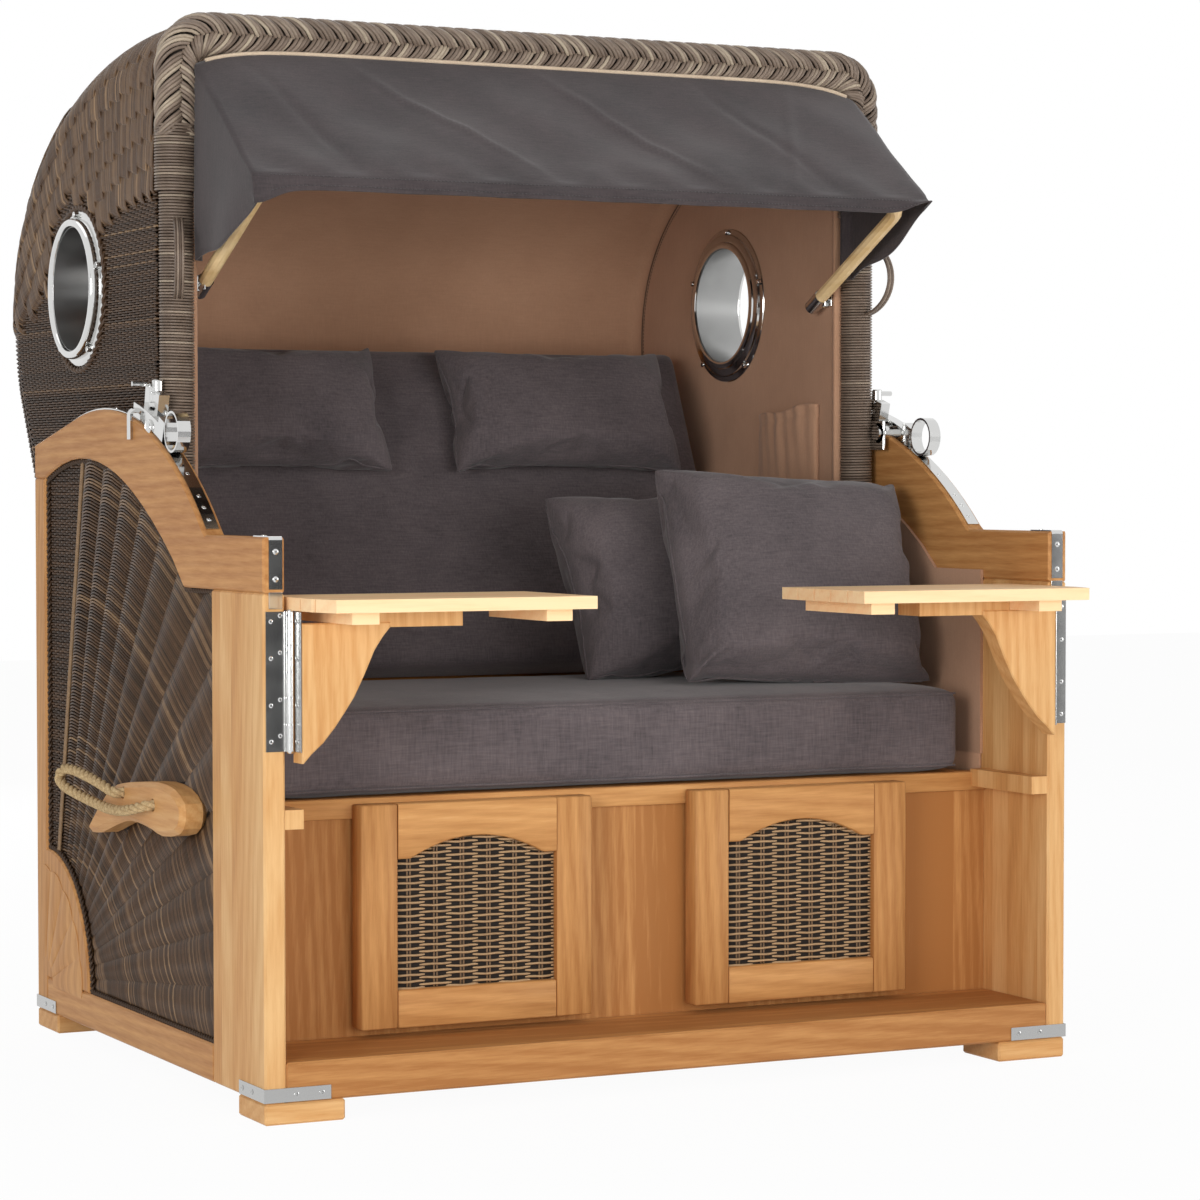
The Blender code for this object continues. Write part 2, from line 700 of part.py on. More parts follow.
def weave_grooves(side):
    """What is cut off a side panel to leave its woven bands, but for a flat seat under the rope's block.

    The bands spread like a fan from the panel's lower rear corner. Between two grooves, all of
    one depth, a band's crest rises with the distance from that corner, up to the panel's face.
    """
    outer = HALF_WIDTH - SIDE_WICKER_RECESS
    back, low = BOX_DEPTH - STILE_DEPTH, BOTTOM_RAIL_TOP
    far = hypot(back - POST_DEPTH, STILE_TOP - low)
    shape = bmesh.new()
    rows = []
    for k in range(-1, 2 * WEAVE_BANDS + 2):
        turn = radians(45 / WEAVE_BANDS * k)
        y, z = back - far * cos(turn), low + far * sin(turn)
        floor = outer - (0 if k % 2 else WEAVE_RELIEF)
        rows.append([shape.verts.new((side * x, y, z)) for x in (floor, outer + OVERRUN)])
    hub = [shape.verts.new((side * x, back, low)) for x in (outer - WEAVE_RELIEF, outer + OVERRUN)]
    for (a, b), (c, d) in zip(rows, rows[1:]):
        shape.faces.new((hub[0], a, c))
        shape.faces.new((hub[1], b, d))
        shape.faces.new((a, b, d, c))
    for a, b in (rows[0], rows[-1]):
        shape.faces.new((hub[0], hub[1], b, a))
    bmesh.ops.recalc_face_normals(shape, faces=shape.faces)
    mesh = bpy.data.meshes.new("grooves")
    shape.to_mesh(mesh)
    shape.free()
    grooves = add("grooves", mesh, None)
    near, far = sorted((side * (outer - 2 * WEAVE_RELIEF), side * (outer + 2 * OVERRUN)))
    cut(grooves, plate_mesh([handle_outline()], near, far, "x"))
    return as_mesh(grooves)


def feet():
    for name, side in SIDES:
        for end, start in (("front", 0), ("rear", BOX_DEPTH - FOOT_DEPTH)):
            side_box(f"foot_{end}_{name}", side, HALF_WIDTH - FOOT_WIDTH, HALF_WIDTH, (start, 0),
                     (start + FOOT_DEPTH, FOOT_HEIGHT), "teak", rounded=TIMBER_ROUND)


def drawer_bounds(side, margin=0.0):
    """Low and high corner, across and up, of a footrest's drawer, or of the hole that it runs in."""
    half = DOOR_WIDTH / 2 - DRAWER_MARGIN_X + margin
    low = DOOR_BOTTOM + DRAWER_MARGIN_Z - margin
    high = DOOR_BOTTOM + DOOR_HEIGHT - DRAWER_MARGIN_Z + margin
    centre = side * DOOR_CENTRE_X
    return (centre - half, low), (centre + half, high)


def cross_boards():
    inner = INNER_FACE - GAP
    box("front_sill", (-inner, 0, FOOT_HEIGHT + GAP), (inner, SILL_DEPTH, SILL_TOP), "teak",
        rounded=TIMBER_ROUND)
    panel = box("front_panel", (-inner, PANEL_FRONT, FOOT_HEIGHT + GAP),
                (inner, PANEL_FRONT + PANEL_THICKNESS, SEAT_RAIL_TOP), "teak")
    rail_bottom = SEAT_RAIL_TOP - SEAT_BOARD_THICKNESS
    join(panel, box_mesh((-SEAT_SIDE_OUTER, PANEL_FRONT + PANEL_THICKNESS - TIMBER_ROUND, rail_bottom),
                         (SEAT_SIDE_OUTER, PANEL_FRONT + SEAT_RAIL_DEPTH, SEAT_RAIL_TOP)))
    for _, side in SIDES:
        (x0, z0), (x1, z1) = drawer_bounds(side, RUNNING_GAP)
        cut(panel, box_mesh((x0, PANEL_FRONT - OVERRUN, z0), (x1, PANEL_FRONT + PANEL_THICKNESS + OVERRUN, z1)))
    back = BOX_DEPTH - STILE_DEPTH / 2 + PANEL_THICKNESS / 2
    box("rear_panel", (-inner, back - PANEL_THICKNESS, FOOT_HEIGHT + GAP),
        (inner, back, REAR_PANEL_TOP), "teak", rounded=TIMBER_ROUND)


def seat_box():
    top = SEAT_RAIL_TOP
    under = top - SEAT_BOARD_THICKNESS
    front = PANEL_FRONT + SEAT_RAIL_DEPTH + GAP
    box("seat_board", (-SEAT_SIDE_OUTER, front, under), (SEAT_SIDE_OUTER, SEAT_BOARD_BACK, top), "teak")
    back = BOX_DEPTH - STILE_DEPTH / 2 - PANEL_THICKNESS / 2 - GAP
    for name, side in SIDES:
        inner = SEAT_SIDE_OUTER - SEAT_SIDE_THICKNESS
        board = side_box(f"seat_side_{name}", side, inner, SEAT_SIDE_OUTER,
                         (PANEL_FRONT + PANEL_THICKNESS + GAP, FOOT_HEIGHT + GAP), (back, under - GAP),
                         "teak")
        near, far = sorted((side * (SEAT_SIDE_OUTER - TIMBER_ROUND), side * (INNER_FACE - GAP)))
        join(board, cylinder_mesh((0, AXLE_Y, AXLE_Z), AXLE_RADIUS, near, far, "x", 20))


def guide_strips():
    for name, side in SIDES:
        low = arc_run(GUIDE_FRONT_ANGLE, GUIDE_REAR_ANGLE, GAP, 22)
        high = arc_run(GUIDE_FRONT_ANGLE, GUIDE_REAR_ANGLE, GAP + STRIP_THICKNESS, 22)
        middle = HALF_WIDTH - FRAME_THICKNESS / 2
        side_plate(f"guide_strip_{name}", side, [low + high[::-1]], middle - STRIP_WIDTH / 2,
                   middle + STRIP_WIDTH / 2, "steel")


# Rope handles

def handle_outline():
    points = [(BLOCK_FRONT + BLOCK_LENGTH * a, BLOCK_BOTTOM + BLOCK_HEIGHT * b)
              for a, b in BLOCK_OUTLINE_SHARES]
    return [(y, z) for y, z in smooth_path(points, 2)]


def rope_handles():
    for name, side in SIDES:
        inner = HALF_WIDTH - SIDE_WICKER_RECESS + GAP
        outer = inner + BLOCK_THICKNESS
        block = side_plate(f"handle_block_{name}", side, [handle_outline()], inner, outer, "teak",
                           rounded=BLOCK_ROUND)
        holes = [(BLOCK_FRONT + BLOCK_LENGTH * a, BLOCK_BOTTOM + BLOCK_HEIGHT * b)
                 for a, b in ROPE_HOLE_SHARES]
        for y, z in holes:
            near, far = sorted((side * (outer - ROPE_HOLE_DEPTH), side * (outer + OVERRUN)))
            cut(block, cylinder_mesh((0, y, z), ROPE_RADIUS + ROPE_HOLE_CLEARANCE, near, far, "x", 20))
        (y, z), (end_y, end_z) = holes
        route = [(side * (outer + ROPE_RADIUS * out), y + (end_y - y) * back, z + (end_z - z) * up)
                 for out, back, up in ROPE_ROUTE_SHARES]
        tube(f"rope_{name}", smooth_path(route, 2), ROPE_RADIUS, "rope", sides=2)


# Swing-out tables

def tables():
    for name, side in SIDES:
        pivot = new_pivot(f"table_axis_{name}", (side * HINGE_AXIS_X, HINGE_AXIS_Y, TABLE_TOP),
                          TABLE_SWING)
        under = TABLE_TOP - SLAT_THICKNESS
        pitch = (TABLE_DEPTH + SLAT_GAP) / SLAT_COUNT
        near, far = sorted((side * TABLE_INNER_X, side * TABLE_OUTER_X))
        slats = []
        for i in range(SLAT_COUNT):
            front = TABLE_FRONT + pitch * i
            slats.append(box_mesh((near, front, under), (far, front + pitch - SLAT_GAP, TABLE_TOP)))
        length = TABLE_OUTER_X - TABLE_INNER_X
        first, *rest = BATTEN_INSET_SHARES
        top = add(f"table_top_{name}", batten_mesh(side, first * length, under), "teak", pivot)
        for share in rest:
            join(top, batten_mesh(side, share * length, under))
        for slat in slats:
            join(top, slat)
        corner = [(side * (TABLE_OUTER_X + OVERRUN), TABLE_FRONT - OVERRUN),
                  (side * (TABLE_OUTER_X - TABLE_CORNER_X), TABLE_FRONT - OVERRUN),
                  (side * (TABLE_OUTER_X - TABLE_CORNER_X), TABLE_FRONT),
                  (side * TABLE_OUTER_X, TABLE_FRONT + TABLE_CORNER_Y),
                  (side * (TABLE_OUTER_X + OVERRUN), TABLE_FRONT + TABLE_CORNER_Y)]
        cut(top, plate_mesh([corner], under - OVERRUN, TABLE_TOP + OVERRUN, "z"))
        table_bracket(name, side, pivot)
        table_hinge(name, side)


def batten_mesh(side, inset, under):
    centre = side * (TABLE_INNER_X + inset)
    return box_mesh((centre - BATTEN_WIDTH / 2, TABLE_FRONT + BATTEN_MARGIN, under - BATTEN_THICKNESS),
                    (centre + BATTEN_WIDTH / 2, TABLE_FRONT + TABLE_DEPTH - BATTEN_MARGIN,
                     under + BATTEN_SINK))


def table_bracket(name, side, pivot):
    """A board with a hollow curved edge under the table, and the rail along its top."""
    under = TABLE_TOP - SLAT_THICKNESS - GAP
    back = HINGE_AXIS_Y + HINGE_BARREL_RADIUS
    end = HINGE_AXIS_X - HINGE_BARREL_RADIUS - FORM_GAP
    length = TABLE_OUTER_X - TABLE_INNER_X
    outer_batten = TABLE_INNER_X + BATTEN_INSET_SHARES[1] * length
    head_low = under - BRACKET_HEAD_HEIGHT
    curve = [(side * (end - BRACKET_REACH * a), head_low - BRACKET_DROP * b)
             for a, b in BRACKET_OUTLINE_SHARES]
    outline = [(side * end, under - BATTEN_THICKNESS), (side * (end - BRACKET_REACH), under - BATTEN_THICKNESS),
               *curve, (side * end, head_low - BRACKET_DROP)]
    board = plate(f"table_bracket_{name}", [outline], back - BRACKET_THICKNESS, back, "y", "teak", pivot,
                  rounded=TIMBER_ROUND)
    head_outer = outer_batten - BATTEN_WIDTH / 2 - GAP
    near, far = sorted((side * (head_outer - BRACKET_HEAD_LENGTH), side * head_outer))
    join(board, box_mesh((near, back - BRACKET_THICKNESS + TIMBER_ROUND, head_low),
                         (far, back + BRACKET_HEAD_BACK, under)))


def table_hinge(name, side):
    top = TABLE_TOP - SLAT_THICKNESS - HINGE_TOP_CLEARANCE
    leaf = side_box(f"table_hinge_{name}", side, HINGE_AXIS_X, HINGE_AXIS_X + HINGE_LEAF_WIDTH,
                    (-GAP - HINGE_LEAF_THICKNESS, HINGE_BOTTOM), (-GAP, top), "steel")
    barrel = cylinder_mesh((side * HINGE_AXIS_X, HINGE_AXIS_Y, 0), HINGE_BARREL_RADIUS, HINGE_BOTTOM, top, "z", 16)
    join(leaf, barrel)


# Footrests

def door_opening(side, inset=0.0):
    """The hole in a footrest's front: straight sides, two ledges and a low arch between them."""
    half = DOOR_WIDTH / 2 - DOOR_STILE
    low = DOOR_BOTTOM + DOOR_SILL + inset
    shoulder = DOOR_BOTTOM + DOOR_SHOULDER - inset
    centre = side * DOOR_CENTRE_X
    points = [(-half + inset, low), (half - inset, low), (half - inset, shoulder)]
    for share in np.linspace(1, -1, 15):
        lift = (0.5 + 0.5 * cos(pi * share)) ** 0.8
        points.append(((half - DOOR_LEDGE - inset) * share, shoulder + DOOR_ARCH_RISE * lift))
    points.append((-half + inset, shoulder))
    return [(centre + x, z) for x, z in points]


def footrests():
    for name, side in SIDES:
        centre = side * DOOR_CENTRE_X
        pivot = new_pivot(f"footrest_slide_{name}", (centre, DOOR_FRONT, DOOR_BOTTOM), FOOTREST_TRAVEL)
        half, top = DOOR_WIDTH / 2, DOOR_BOTTOM + DOOR_HEIGHT
        outline = [(centre - half, DOOR_BOTTOM), (centre + half, DOOR_BOTTOM), (centre + half, top),
                   (centre - half, top)]
        back = DOOR_FRONT + DOOR_THICKNESS
        plate(f"footrest_front_{name}", [outline, door_opening(side)], DOOR_FRONT, back, "y", "teak", pivot,
              rounded=TIMBER_ROUND)
        face = DOOR_FRONT + DOOR_WICKER_RECESS
        plate(f"footrest_wicker_{name}", [door_opening(side, FORM_GAP)], face, face + DOOR_WICKER_THICKNESS,
              "y", "wicker", pivot)
        (x0, z0), (x1, z1) = drawer_bounds(side)
        drawer = box(f"footrest_drawer_{name}", (x0, back + GAP, z0), (x1, back + DRAWER_LENGTH, z1), "teak",
                     pivot)
        cut(drawer, box_mesh((x0 + DRAWER_WALL, back + DRAWER_WALL, z0 + DRAWER_WALL),
                             (x1 - DRAWER_WALL, back + DRAWER_LENGTH + OVERRUN, z1 - DRAWER_WALL)))


# Hood

def hood_line(reach=0.0):
    """Side view of the hood, from its front edge over the crown and down the tucked back.

    Also gives, at each point, the step that moves both lines beside it inwards by one,
    and the lowest front corner. The open ends reach on by a given length.
    """
    turns = np.linspace(pi / 2, 0, 15)
    power = 2 / HOOD_ROUNDNESS
    crown = np.stack([HOOD_SHOULDER_Y + (HOOD_BACK_Y - HOOD_SHOULDER_Y) * np.abs(np.cos(turns)) ** power,
                      HOOD_BACK_Z + (HOOD_TOP - HOOD_BACK_Z) * np.sin(turns) ** power], 1)
    turns = np.radians(np.linspace(0, TUCK_ANGLE, 4)[1:])
    tuck = np.stack([HOOD_BACK_Y - TUCK_HALF_DEPTH * (1 - np.cos(turns)),
                     HOOD_BACK_Z - TUCK_HALF_HEIGHT * np.sin(turns)], 1)
    y, z = tuck[-1]
    tail = [(y - (z - TAIL_Z + 2 * reach) * TAIL_SLOPE, TAIL_Z - 2 * reach)]
    line = np.vstack([[(SHELL_FRONT - reach, HOOD_TOP)], crown, tuck, tail])
    toe = np.array([SHELL_FRONT - reach, HOOD_SIDE_FOOT_Z - reach])
    steps = np.diff(line, axis=0)
    normals = np.stack([steps[:, 1], -steps[:, 0]], 1)
    normals /= np.linalg.norm(normals, axis=1)[:, None]
    first, last = normals[:-1], normals[1:]
    mitres = (first + last) / (1 + (first * last).sum(axis=1))[:, None]
    hem = toe - line[-1]
    return line, np.vstack([normals[:1], mitres, [hem / (hem @ normals[-1])]]), toe


def hood_volume(inset, reach=0.0):
    """The hood moved inwards as a closed body: its side view carried across, with round corners.

    Across the hood, a corner is a quarter circle in the distance from the middle plane and
    the step inwards from the side view, so that bodies with other insets run parallel to it.
    """
    line, mitres, toe = hood_line(reach)
    turns = np.linspace(0, pi / 2, 4)
    radius = HOOD_CORNER - inset
    out = HOOD_HALF_WIDTH - inset - radius * (1 - np.sin(turns))
    step = inset + radius * (1 - np.cos(turns))
    out, step = np.append(-out[::-1], out), np.append(step[::-1], step)
    side_view = line[:, None] + mitres[:, None] * step[None, :, None]
    shape = bmesh.new()
    rows = [[shape.verts.new((x, y, z)) for x, (y, z) in zip(out, row)] for row in side_view]
    toes = [shape.verts.new((x, *toe)) for x in (out[0], out[-1])]
    for upper, lower in zip(rows, rows[1:]):
        for j in range(len(out) - 1):
            shape.faces.new((upper[j], upper[j + 1], lower[j + 1], lower[j]))
    shape.faces.new([*(row[0] for row in rows), toes[0]])
    shape.faces.new([*(row[-1] for row in rows), toes[1]])
    for row in (rows[0], rows[-1]):
        shape.faces.new([*row, toes[1], toes[0]])
    bmesh.ops.recalc_face_normals(shape, faces=shape.faces)
    mesh = bpy.data.meshes.new("hood")
    shape.to_mesh(mesh)
    shape.free()
    return mesh


def hood_side(place, inset):
    """How far from the middle plane the side of hood_volume(inset) is, at a place in the side view."""
    line = hood_line()[0]
    starts, steps = line[:-1], np.diff(line, axis=0)
    shares = np.clip(((place - starts) * steps).sum(axis=1) / (steps**2).sum(axis=1), 0, 1)
    depth = np.linalg.norm(starts + steps * shares[:, None] - place, axis=1).min()
    turns = np.linspace(0, pi / 2, 4)
    radius = HOOD_CORNER - inset
    return float(np.interp(depth, inset + radius * (1 - np.cos(turns)),
                           HOOD_HALF_WIDTH - inset - radius * (1 - np.sin(turns))))


def shingle_row(side, row):
    """One lapped row of the shingled weave on a side of the hood, as a bar with a lifted lower edge.

    Rows are arcs round one centre low in the hood's front. They begin at the front edge and end
    ahead of the porthole or, higher up, at a fixed height above it.
    """
    centre = np.array([SHELL_FRONT + SHINGLE_CENTRE_BEHIND, HOOD_TOP - SHINGLE_CENTRE_BELOW])
    low = SHINGLE_CENTRE_BELOW - SHINGLE_TOP_DROP - (row + 1) * SHINGLE_PITCH
    start = asin((SHELL_FRONT + SHINGLE_SETBACK - centre[0]) / low)
    end = max(acos(min(1, (PORT_Z + SHINGLE_ABOVE_PORT - centre[1]) / low)),
              asin((PORT_Y - SHINGLE_AHEAD_OF_PORT - centre[0]) / low))
    high = low + SHINGLE_PITCH + SHINGLE_LAP * (row > 0)
    corners = ((low, SHINGLE_SINK), (low, -SHINGLE_LIFT), (high, SHINGLE_LAP / 2), (high, SHINGLE_SINK))
    shape = bmesh.new()
    rings = []
    for turn in np.linspace(start, end, SHINGLE_STEPS):
        ring = []
        for radius, inset in corners:
            place = centre + radius * np.array([sin(turn), cos(turn)])
            ring.append(shape.verts.new((side * hood_side(place, inset), *place)))
        rings.append(ring)
    for first, second in zip(rings, rings[1:]):
        for i in range(4):
            j = (i + 1) % 4
            shape.faces.new((first[i], first[j], second[j], second[i]))
    shape.faces.new(rings[0])
    shape.faces.new(rings[-1])
    bmesh.ops.recalc_face_normals(shape, faces=shape.faces)
    mesh = bpy.data.meshes.new("shingles")
    shape.to_mesh(mesh)
    shape.free()
    return mesh


def hood_bodies():
    hole = PORT_BORE_RADIUS + PORT_TUBE_WALL + FORM_GAP
    reach = HOOD_HALF_WIDTH + OVERRUN
    inset = HOOD_WALL + FORM_GAP
    inner = HOOD_HALF_WIDTH - LINING_INNER_HALF
    for name, finish, start, end in (("hood_shell", "wicker", 0, HOOD_WALL), ("hood_lining", "lining", inset, inner)):
        skin = add(name, hood_volume(start), finish, HOOD)
        cut(skin, hood_volume(end, 2 * OVERRUN))
        cut(skin, cylinder_mesh((0, PORT_Y, PORT_Z), hole, -reach, reach, "x", 24))
        if name == "hood_shell":
            for row in range(SHINGLE_ROWS):
                join(join(skin, shingle_row(-1, row)), shingle_row(1, row))


def portholes():
    """A turned ring on each side: rounded collar outside, tube through the wall, sloped flange inside."""
    bore, tube_radius = PORT_BORE_RADIUS, PORT_BORE_RADIUS + PORT_TUBE_WALL
    outside = HOOD_HALF_WIDTH + GAP
    top = outside + PORT_RING_PROUD
    inside = LINING_INNER_HALF - GAP
    low = inside - PORT_FLANGE_DEPTH
    profile = [(bore, low), (bore, top - PORT_RING_ROUND), (bore + PORT_RING_ROUND / 2, top),
               (PORT_RING_RADIUS - PORT_RING_ROUND, top), (PORT_RING_RADIUS, top - PORT_RING_ROUND),
               (PORT_RING_RADIUS, outside), (tube_radius, outside), (tube_radius, inside),
               (PORT_FLANGE_RADIUS, inside), (PORT_FLANGE_RADIUS, inside - PORT_TUBE_WALL)]
    for name, side in SIDES:
        mesh = turned_mesh(profile, 24)
        turn = Euler((0, side * pi / 2, 0)).to_matrix().to_4x4()
        mesh.transform(Matrix.Translation((0, PORT_Y, PORT_Z)) @ turn)
        smooth_shaded(add(f"porthole_{name}", mesh, "steel", HOOD))


def hood_rim():
    """The tube round the opening, thicker across the top, with a bent grip on each side tube."""
    top = HOOD_HEIGHT - PLAIT_RADIUS
    corners = [(-RIM_X, RIM_Y, HOOD_SIDE_FOOT_Z), (-RIM_X, RIM_Y, top), (RIM_X, RIM_Y, top),
               (RIM_X, RIM_Y, HOOD_SIDE_FOOT_Z)]
    path = rounded_path(corners, (RIM_CORNER, RIM_CORNER), 5)
    thick = PLAIT_RADIUS / RIM_RADIUS
    shares = [1 + (thick - 1) * min(1, max(0, (place[2] - (top - RIM_CORNER)) / RIM_CORNER)) for place in path]
    rim = tube("hood_rim", path, RIM_RADIUS, "wicker", HOOD, sides=4, shares=shares)
    for _, side in SIDES:
        middle = (GRIP_TOP + GRIP_BOTTOM) / 2
        turns = np.linspace(-pi / 2, pi / 2, 9)
        bend = [(side * (RIM_X + GRIP_REACH_X * cos(turn)), RIM_Y - GRIP_REACH_Y * cos(turn),
                 middle + (GRIP_TOP - GRIP_BOTTOM) / 2 * sin(turn)) for turn in turns]
        join(rim, tube_mesh(bend, GRIP_RADIUS, 1))


def hood_arms():
    """The boards that carry the hood down to its axle, beside the seat."""
    tail_y, tail_z = hood_line()[0][-1]
    front = (SHELL_FRONT, HOOD_SIDE_FOOT_Z)
    share = HOOD_ARM_REAR_SHARE
    rear = (front[0] + (tail_y - front[0]) * share, front[1] + (tail_z - front[1]) * share)
    drop = FORM_GAP
    centre = Vector((AXLE_Y, AXLE_Z))
    start, end = (Vector(place) - centre for place in (front, rear))
    low = atan2(start.y, start.x) + acos(AXLE_BOSS_RADIUS / start.length)
    high = atan2(end.y, end.x) - acos(AXLE_BOSS_RADIUS / end.length) + 2 * pi
    boss = [(AXLE_Y + AXLE_BOSS_RADIUS * cos(turn), AXLE_Z + AXLE_BOSS_RADIUS * sin(turn))
            for turn in np.linspace(low, high, 11)]
    outline = [(front[0], front[1] - drop), *boss, (rear[0], rear[1] - drop)]
    for name, side in SIDES:
        outer = HOOD_HALF_WIDTH - GAP
        arm = side_plate(f"hood_arm_{name}", side, [outline], outer - HOOD_ARM_THICKNESS, outer, "teak", HOOD)
        near, far = sorted((side * (outer - HOOD_ARM_THICKNESS - OVERRUN), side * (outer + OVERRUN)))
        cut(arm, cylinder_mesh((0, AXLE_Y, AXLE_Z), AXLE_RADIUS + GAP, near, far, "x", 20))


# Clamps on the guide strips

def clamps():
    base = GAP + STRIP_THICKNESS + RUNNING_GAP
    ring_height = base + LOOP_RADIUS
    ring_step = degrees((LOOP_RADIUS + GAP) / (GUIDE_RADIUS + ring_height))
    ring_angle = CLAMP_FRONT_ANGLE - ring_step
    for name, side in SIDES:
        middle = HALF_WIDTH - FRAME_THICKNESS / 2
        half = STRIP_WIDTH / 2
        ear = CLAMP_FRONT_ANGLE + CLAMP_EAR_ANGLE
        outline = [on_arc(CLAMP_FRONT_ANGLE, base), *arc_run(ear, CLAMP_REAR_ANGLE, base, 5),
                   *arc_run(CLAMP_REAR_ANGLE, ear, base + CLAMP_HEIGHT, 5),
                   on_arc(ear, ring_height), on_arc(CLAMP_FRONT_ANGLE, ring_height)]
        clamp = side_plate(f"clamp_{name}", side, [outline], middle - half, middle + half, "steel", HOOD)
        plate_front = degrees(asin((RIM_Y - RIM_RADIUS - AXLE_Y) / GUIDE_RADIUS))
        inner = [*arc_run(plate_front, CLAMP_REAR_ANGLE, base, 5),
                 *arc_run(CLAMP_REAR_ANGLE, plate_front, base + CLAMP_PLATE_HEIGHT, 5)]
        near, far = sorted((side * (HOOD_HALF_WIDTH + GAP), side * (middle - half + TIMBER_ROUND)))
        join(clamp, plate_mesh([inner], near, far, "x"))
        y, z = on_arc(CLAMP_REAR_ANGLE - 1, base + CLAMP_HEIGHT / 2)
        out = middle + LEVER_REACH / 2
        rod = rounded_path([(side * middle, y, z), (side * out, y, z), (side * out, y, z - LEVER_DROP)],
                           (LEVER_ROD_RADIUS * 2,), 4)
        join(clamp, tube_mesh(rod, LEVER_ROD_RADIUS, 2))
        y, z = on_arc(CLAMP_REAR_ANGLE - 2, base + CLAMP_HEIGHT - LEVER_ROD_RADIUS)
        upper = z + LEVER_HEIGHT
        rod = rounded_path([(side * (middle - half), y, z), (side * (middle - half), y, upper),
                            (side * (middle + LEVER_REACH / 2), y, upper)], (LEVER_ROD_RADIUS * 2,), 4)
        join(clamp, tube_mesh(rod, LEVER_ROD_RADIUS, 2))

        hinge_y, hinge_z = on_arc(CLAMP_FRONT_ANGLE, ring_height)
        pivot = new_pivot(f"loop_axis_{name}", (side * middle, hinge_y, hinge_z), LOOP_LIFT)
        hang_on(pivot, HOOD)
        y, z = on_arc(ring_angle, ring_height)
        rings = [[(y + radius * cos(turn), z + radius * sin(turn)) for turn in
                  np.linspace(0, 2 * pi, 25)[:-1]] for radius in (LOOP_RADIUS, LOOP_RADIUS - LOOP_BAND)]
        side_plate(f"loop_handle_{name}", side, rings, middle - half, middle + half, "steel", pivot)


def hang_on(pivot, carrier):
    """Carry one axis by another, without moving it."""
    place = pivot.location.copy()
    pivot.parent = carrier
    pivot.matrix_parent_inverse = Matrix.Translation(carrier.location).inverted()
    pivot.location = place


# Awning

def awning_bow():
    elbow = (BOW_PIVOT_Y - BOW_REACH, BOW_PIVOT_Z + BOW_RISE)
    pivot = new_pivot("bow_axis", (0, BOW_PIVOT_Y, BOW_PIVOT_Z), BOW_LIFT)
    hang_on(pivot, HOOD)
    corners = [(-BOW_X, BOW_PIVOT_Y, BOW_PIVOT_Z), (-BOW_X, *elbow), (BOW_X, *elbow),
               (BOW_X, BOW_PIVOT_Y, BOW_PIVOT_Z)]
    path = rounded_path(corners, (BOW_BEND, BOW_BEND), 6)
    bow = tube("awning_bow", path, BOW_RADIUS, "cane", pivot, sides=3)
    for _, side in SIDES:
        near, far = sorted((side * (BOW_X - BOW_RADIUS / 2), side * (LINING_INNER_HALF - GAP)))
        join(bow, cylinder_mesh((0, BOW_PIVOT_Y, BOW_PIVOT_Z), BOW_PIN_RADIUS, near, far, "x", 16))


def awning():
    """Cloth from under the plait over the bow to a hem, with a hanging flap at each end.

    Across, a point runs from one end to the other; down, it leaves the plait, follows the
    straight line that just clears the bow, and turns down into the hem. The middle sags,
    and the hem waves in shallow folds.
    """
    half_cloth = AWNING_THICKNESS / 2
    reach = (PLAIT_RADIUS + half_cloth + FORM_GAP) * sin(pi / 4)
    top = Vector((RIM_Y - reach, HOOD_HEIGHT - PLAIT_RADIUS - reach))
    bar = Vector((BOW_PIVOT_Y - BOW_REACH, BOW_PIVOT_Z + BOW_RISE))
    clear = BOW_RADIUS + half_cloth + FORM_GAP
    to_bar = bar - top
    lean = atan2(to_bar.y, to_bar.x) - asin(clear / to_bar.length)
    along = Vector((cos(lean), sin(lean)))
    length = (to_bar.length**2 - clear**2) ** 0.5 + AWNING_OVERHANG
    edge = top + along * length
    across = np.linspace(-1, 1, 29)
    rows = []
    for share in AWNING_ROW_SHARES:
        place = top + along * length * share
        sag = AWNING_SAG * sin(pi * min(1, share / AWNING_SAG_SHARE)) * (1 - np.abs(across) ** 2)
        drop = AWNING_CORNER_DROP * np.abs(across) ** 10 * (1 - share)
        rows.append(np.stack([across * AWNING_HALF_WIDTH, np.full_like(across, place.x),
                              place.y - sag - drop], 1))
    wave = AWNING_WAVE * np.cos(pi * AWNING_WAVES * across)
    for share in AWNING_HEM_SHARES:
        rows.append(np.stack([across * AWNING_HALF_WIDTH, edge.x + (wave - AWNING_WAVE) * share,
                              np.full_like(across, edge.y - AWNING_HEM * share)], 1))
    grid = np.array(rows)
    shape = bmesh.new()
    verts = [[shape.verts.new(place) for place in row] for row in grid]
    for upper, lower in zip(verts, verts[1:]):
        for i in range(len(across) - 1):
            shape.faces.new((upper[i], lower[i], lower[i + 1], upper[i + 1]))
    for column, turned in ((0, False), (-1, True)):
        flap(shape, [row[column] for row in verts], turned)
    mesh = bpy.data.meshes.new("awning")
    shape.to_mesh(mesh)
    shape.free()
    cloth = add("awning", mesh, "charcoal", HOOD)
    wall = cloth.modifiers.new("cloth", "SOLIDIFY")
    wall.thickness = AWNING_THICKNESS
    wall.offset = 0
    smooth_shaded(cloth)


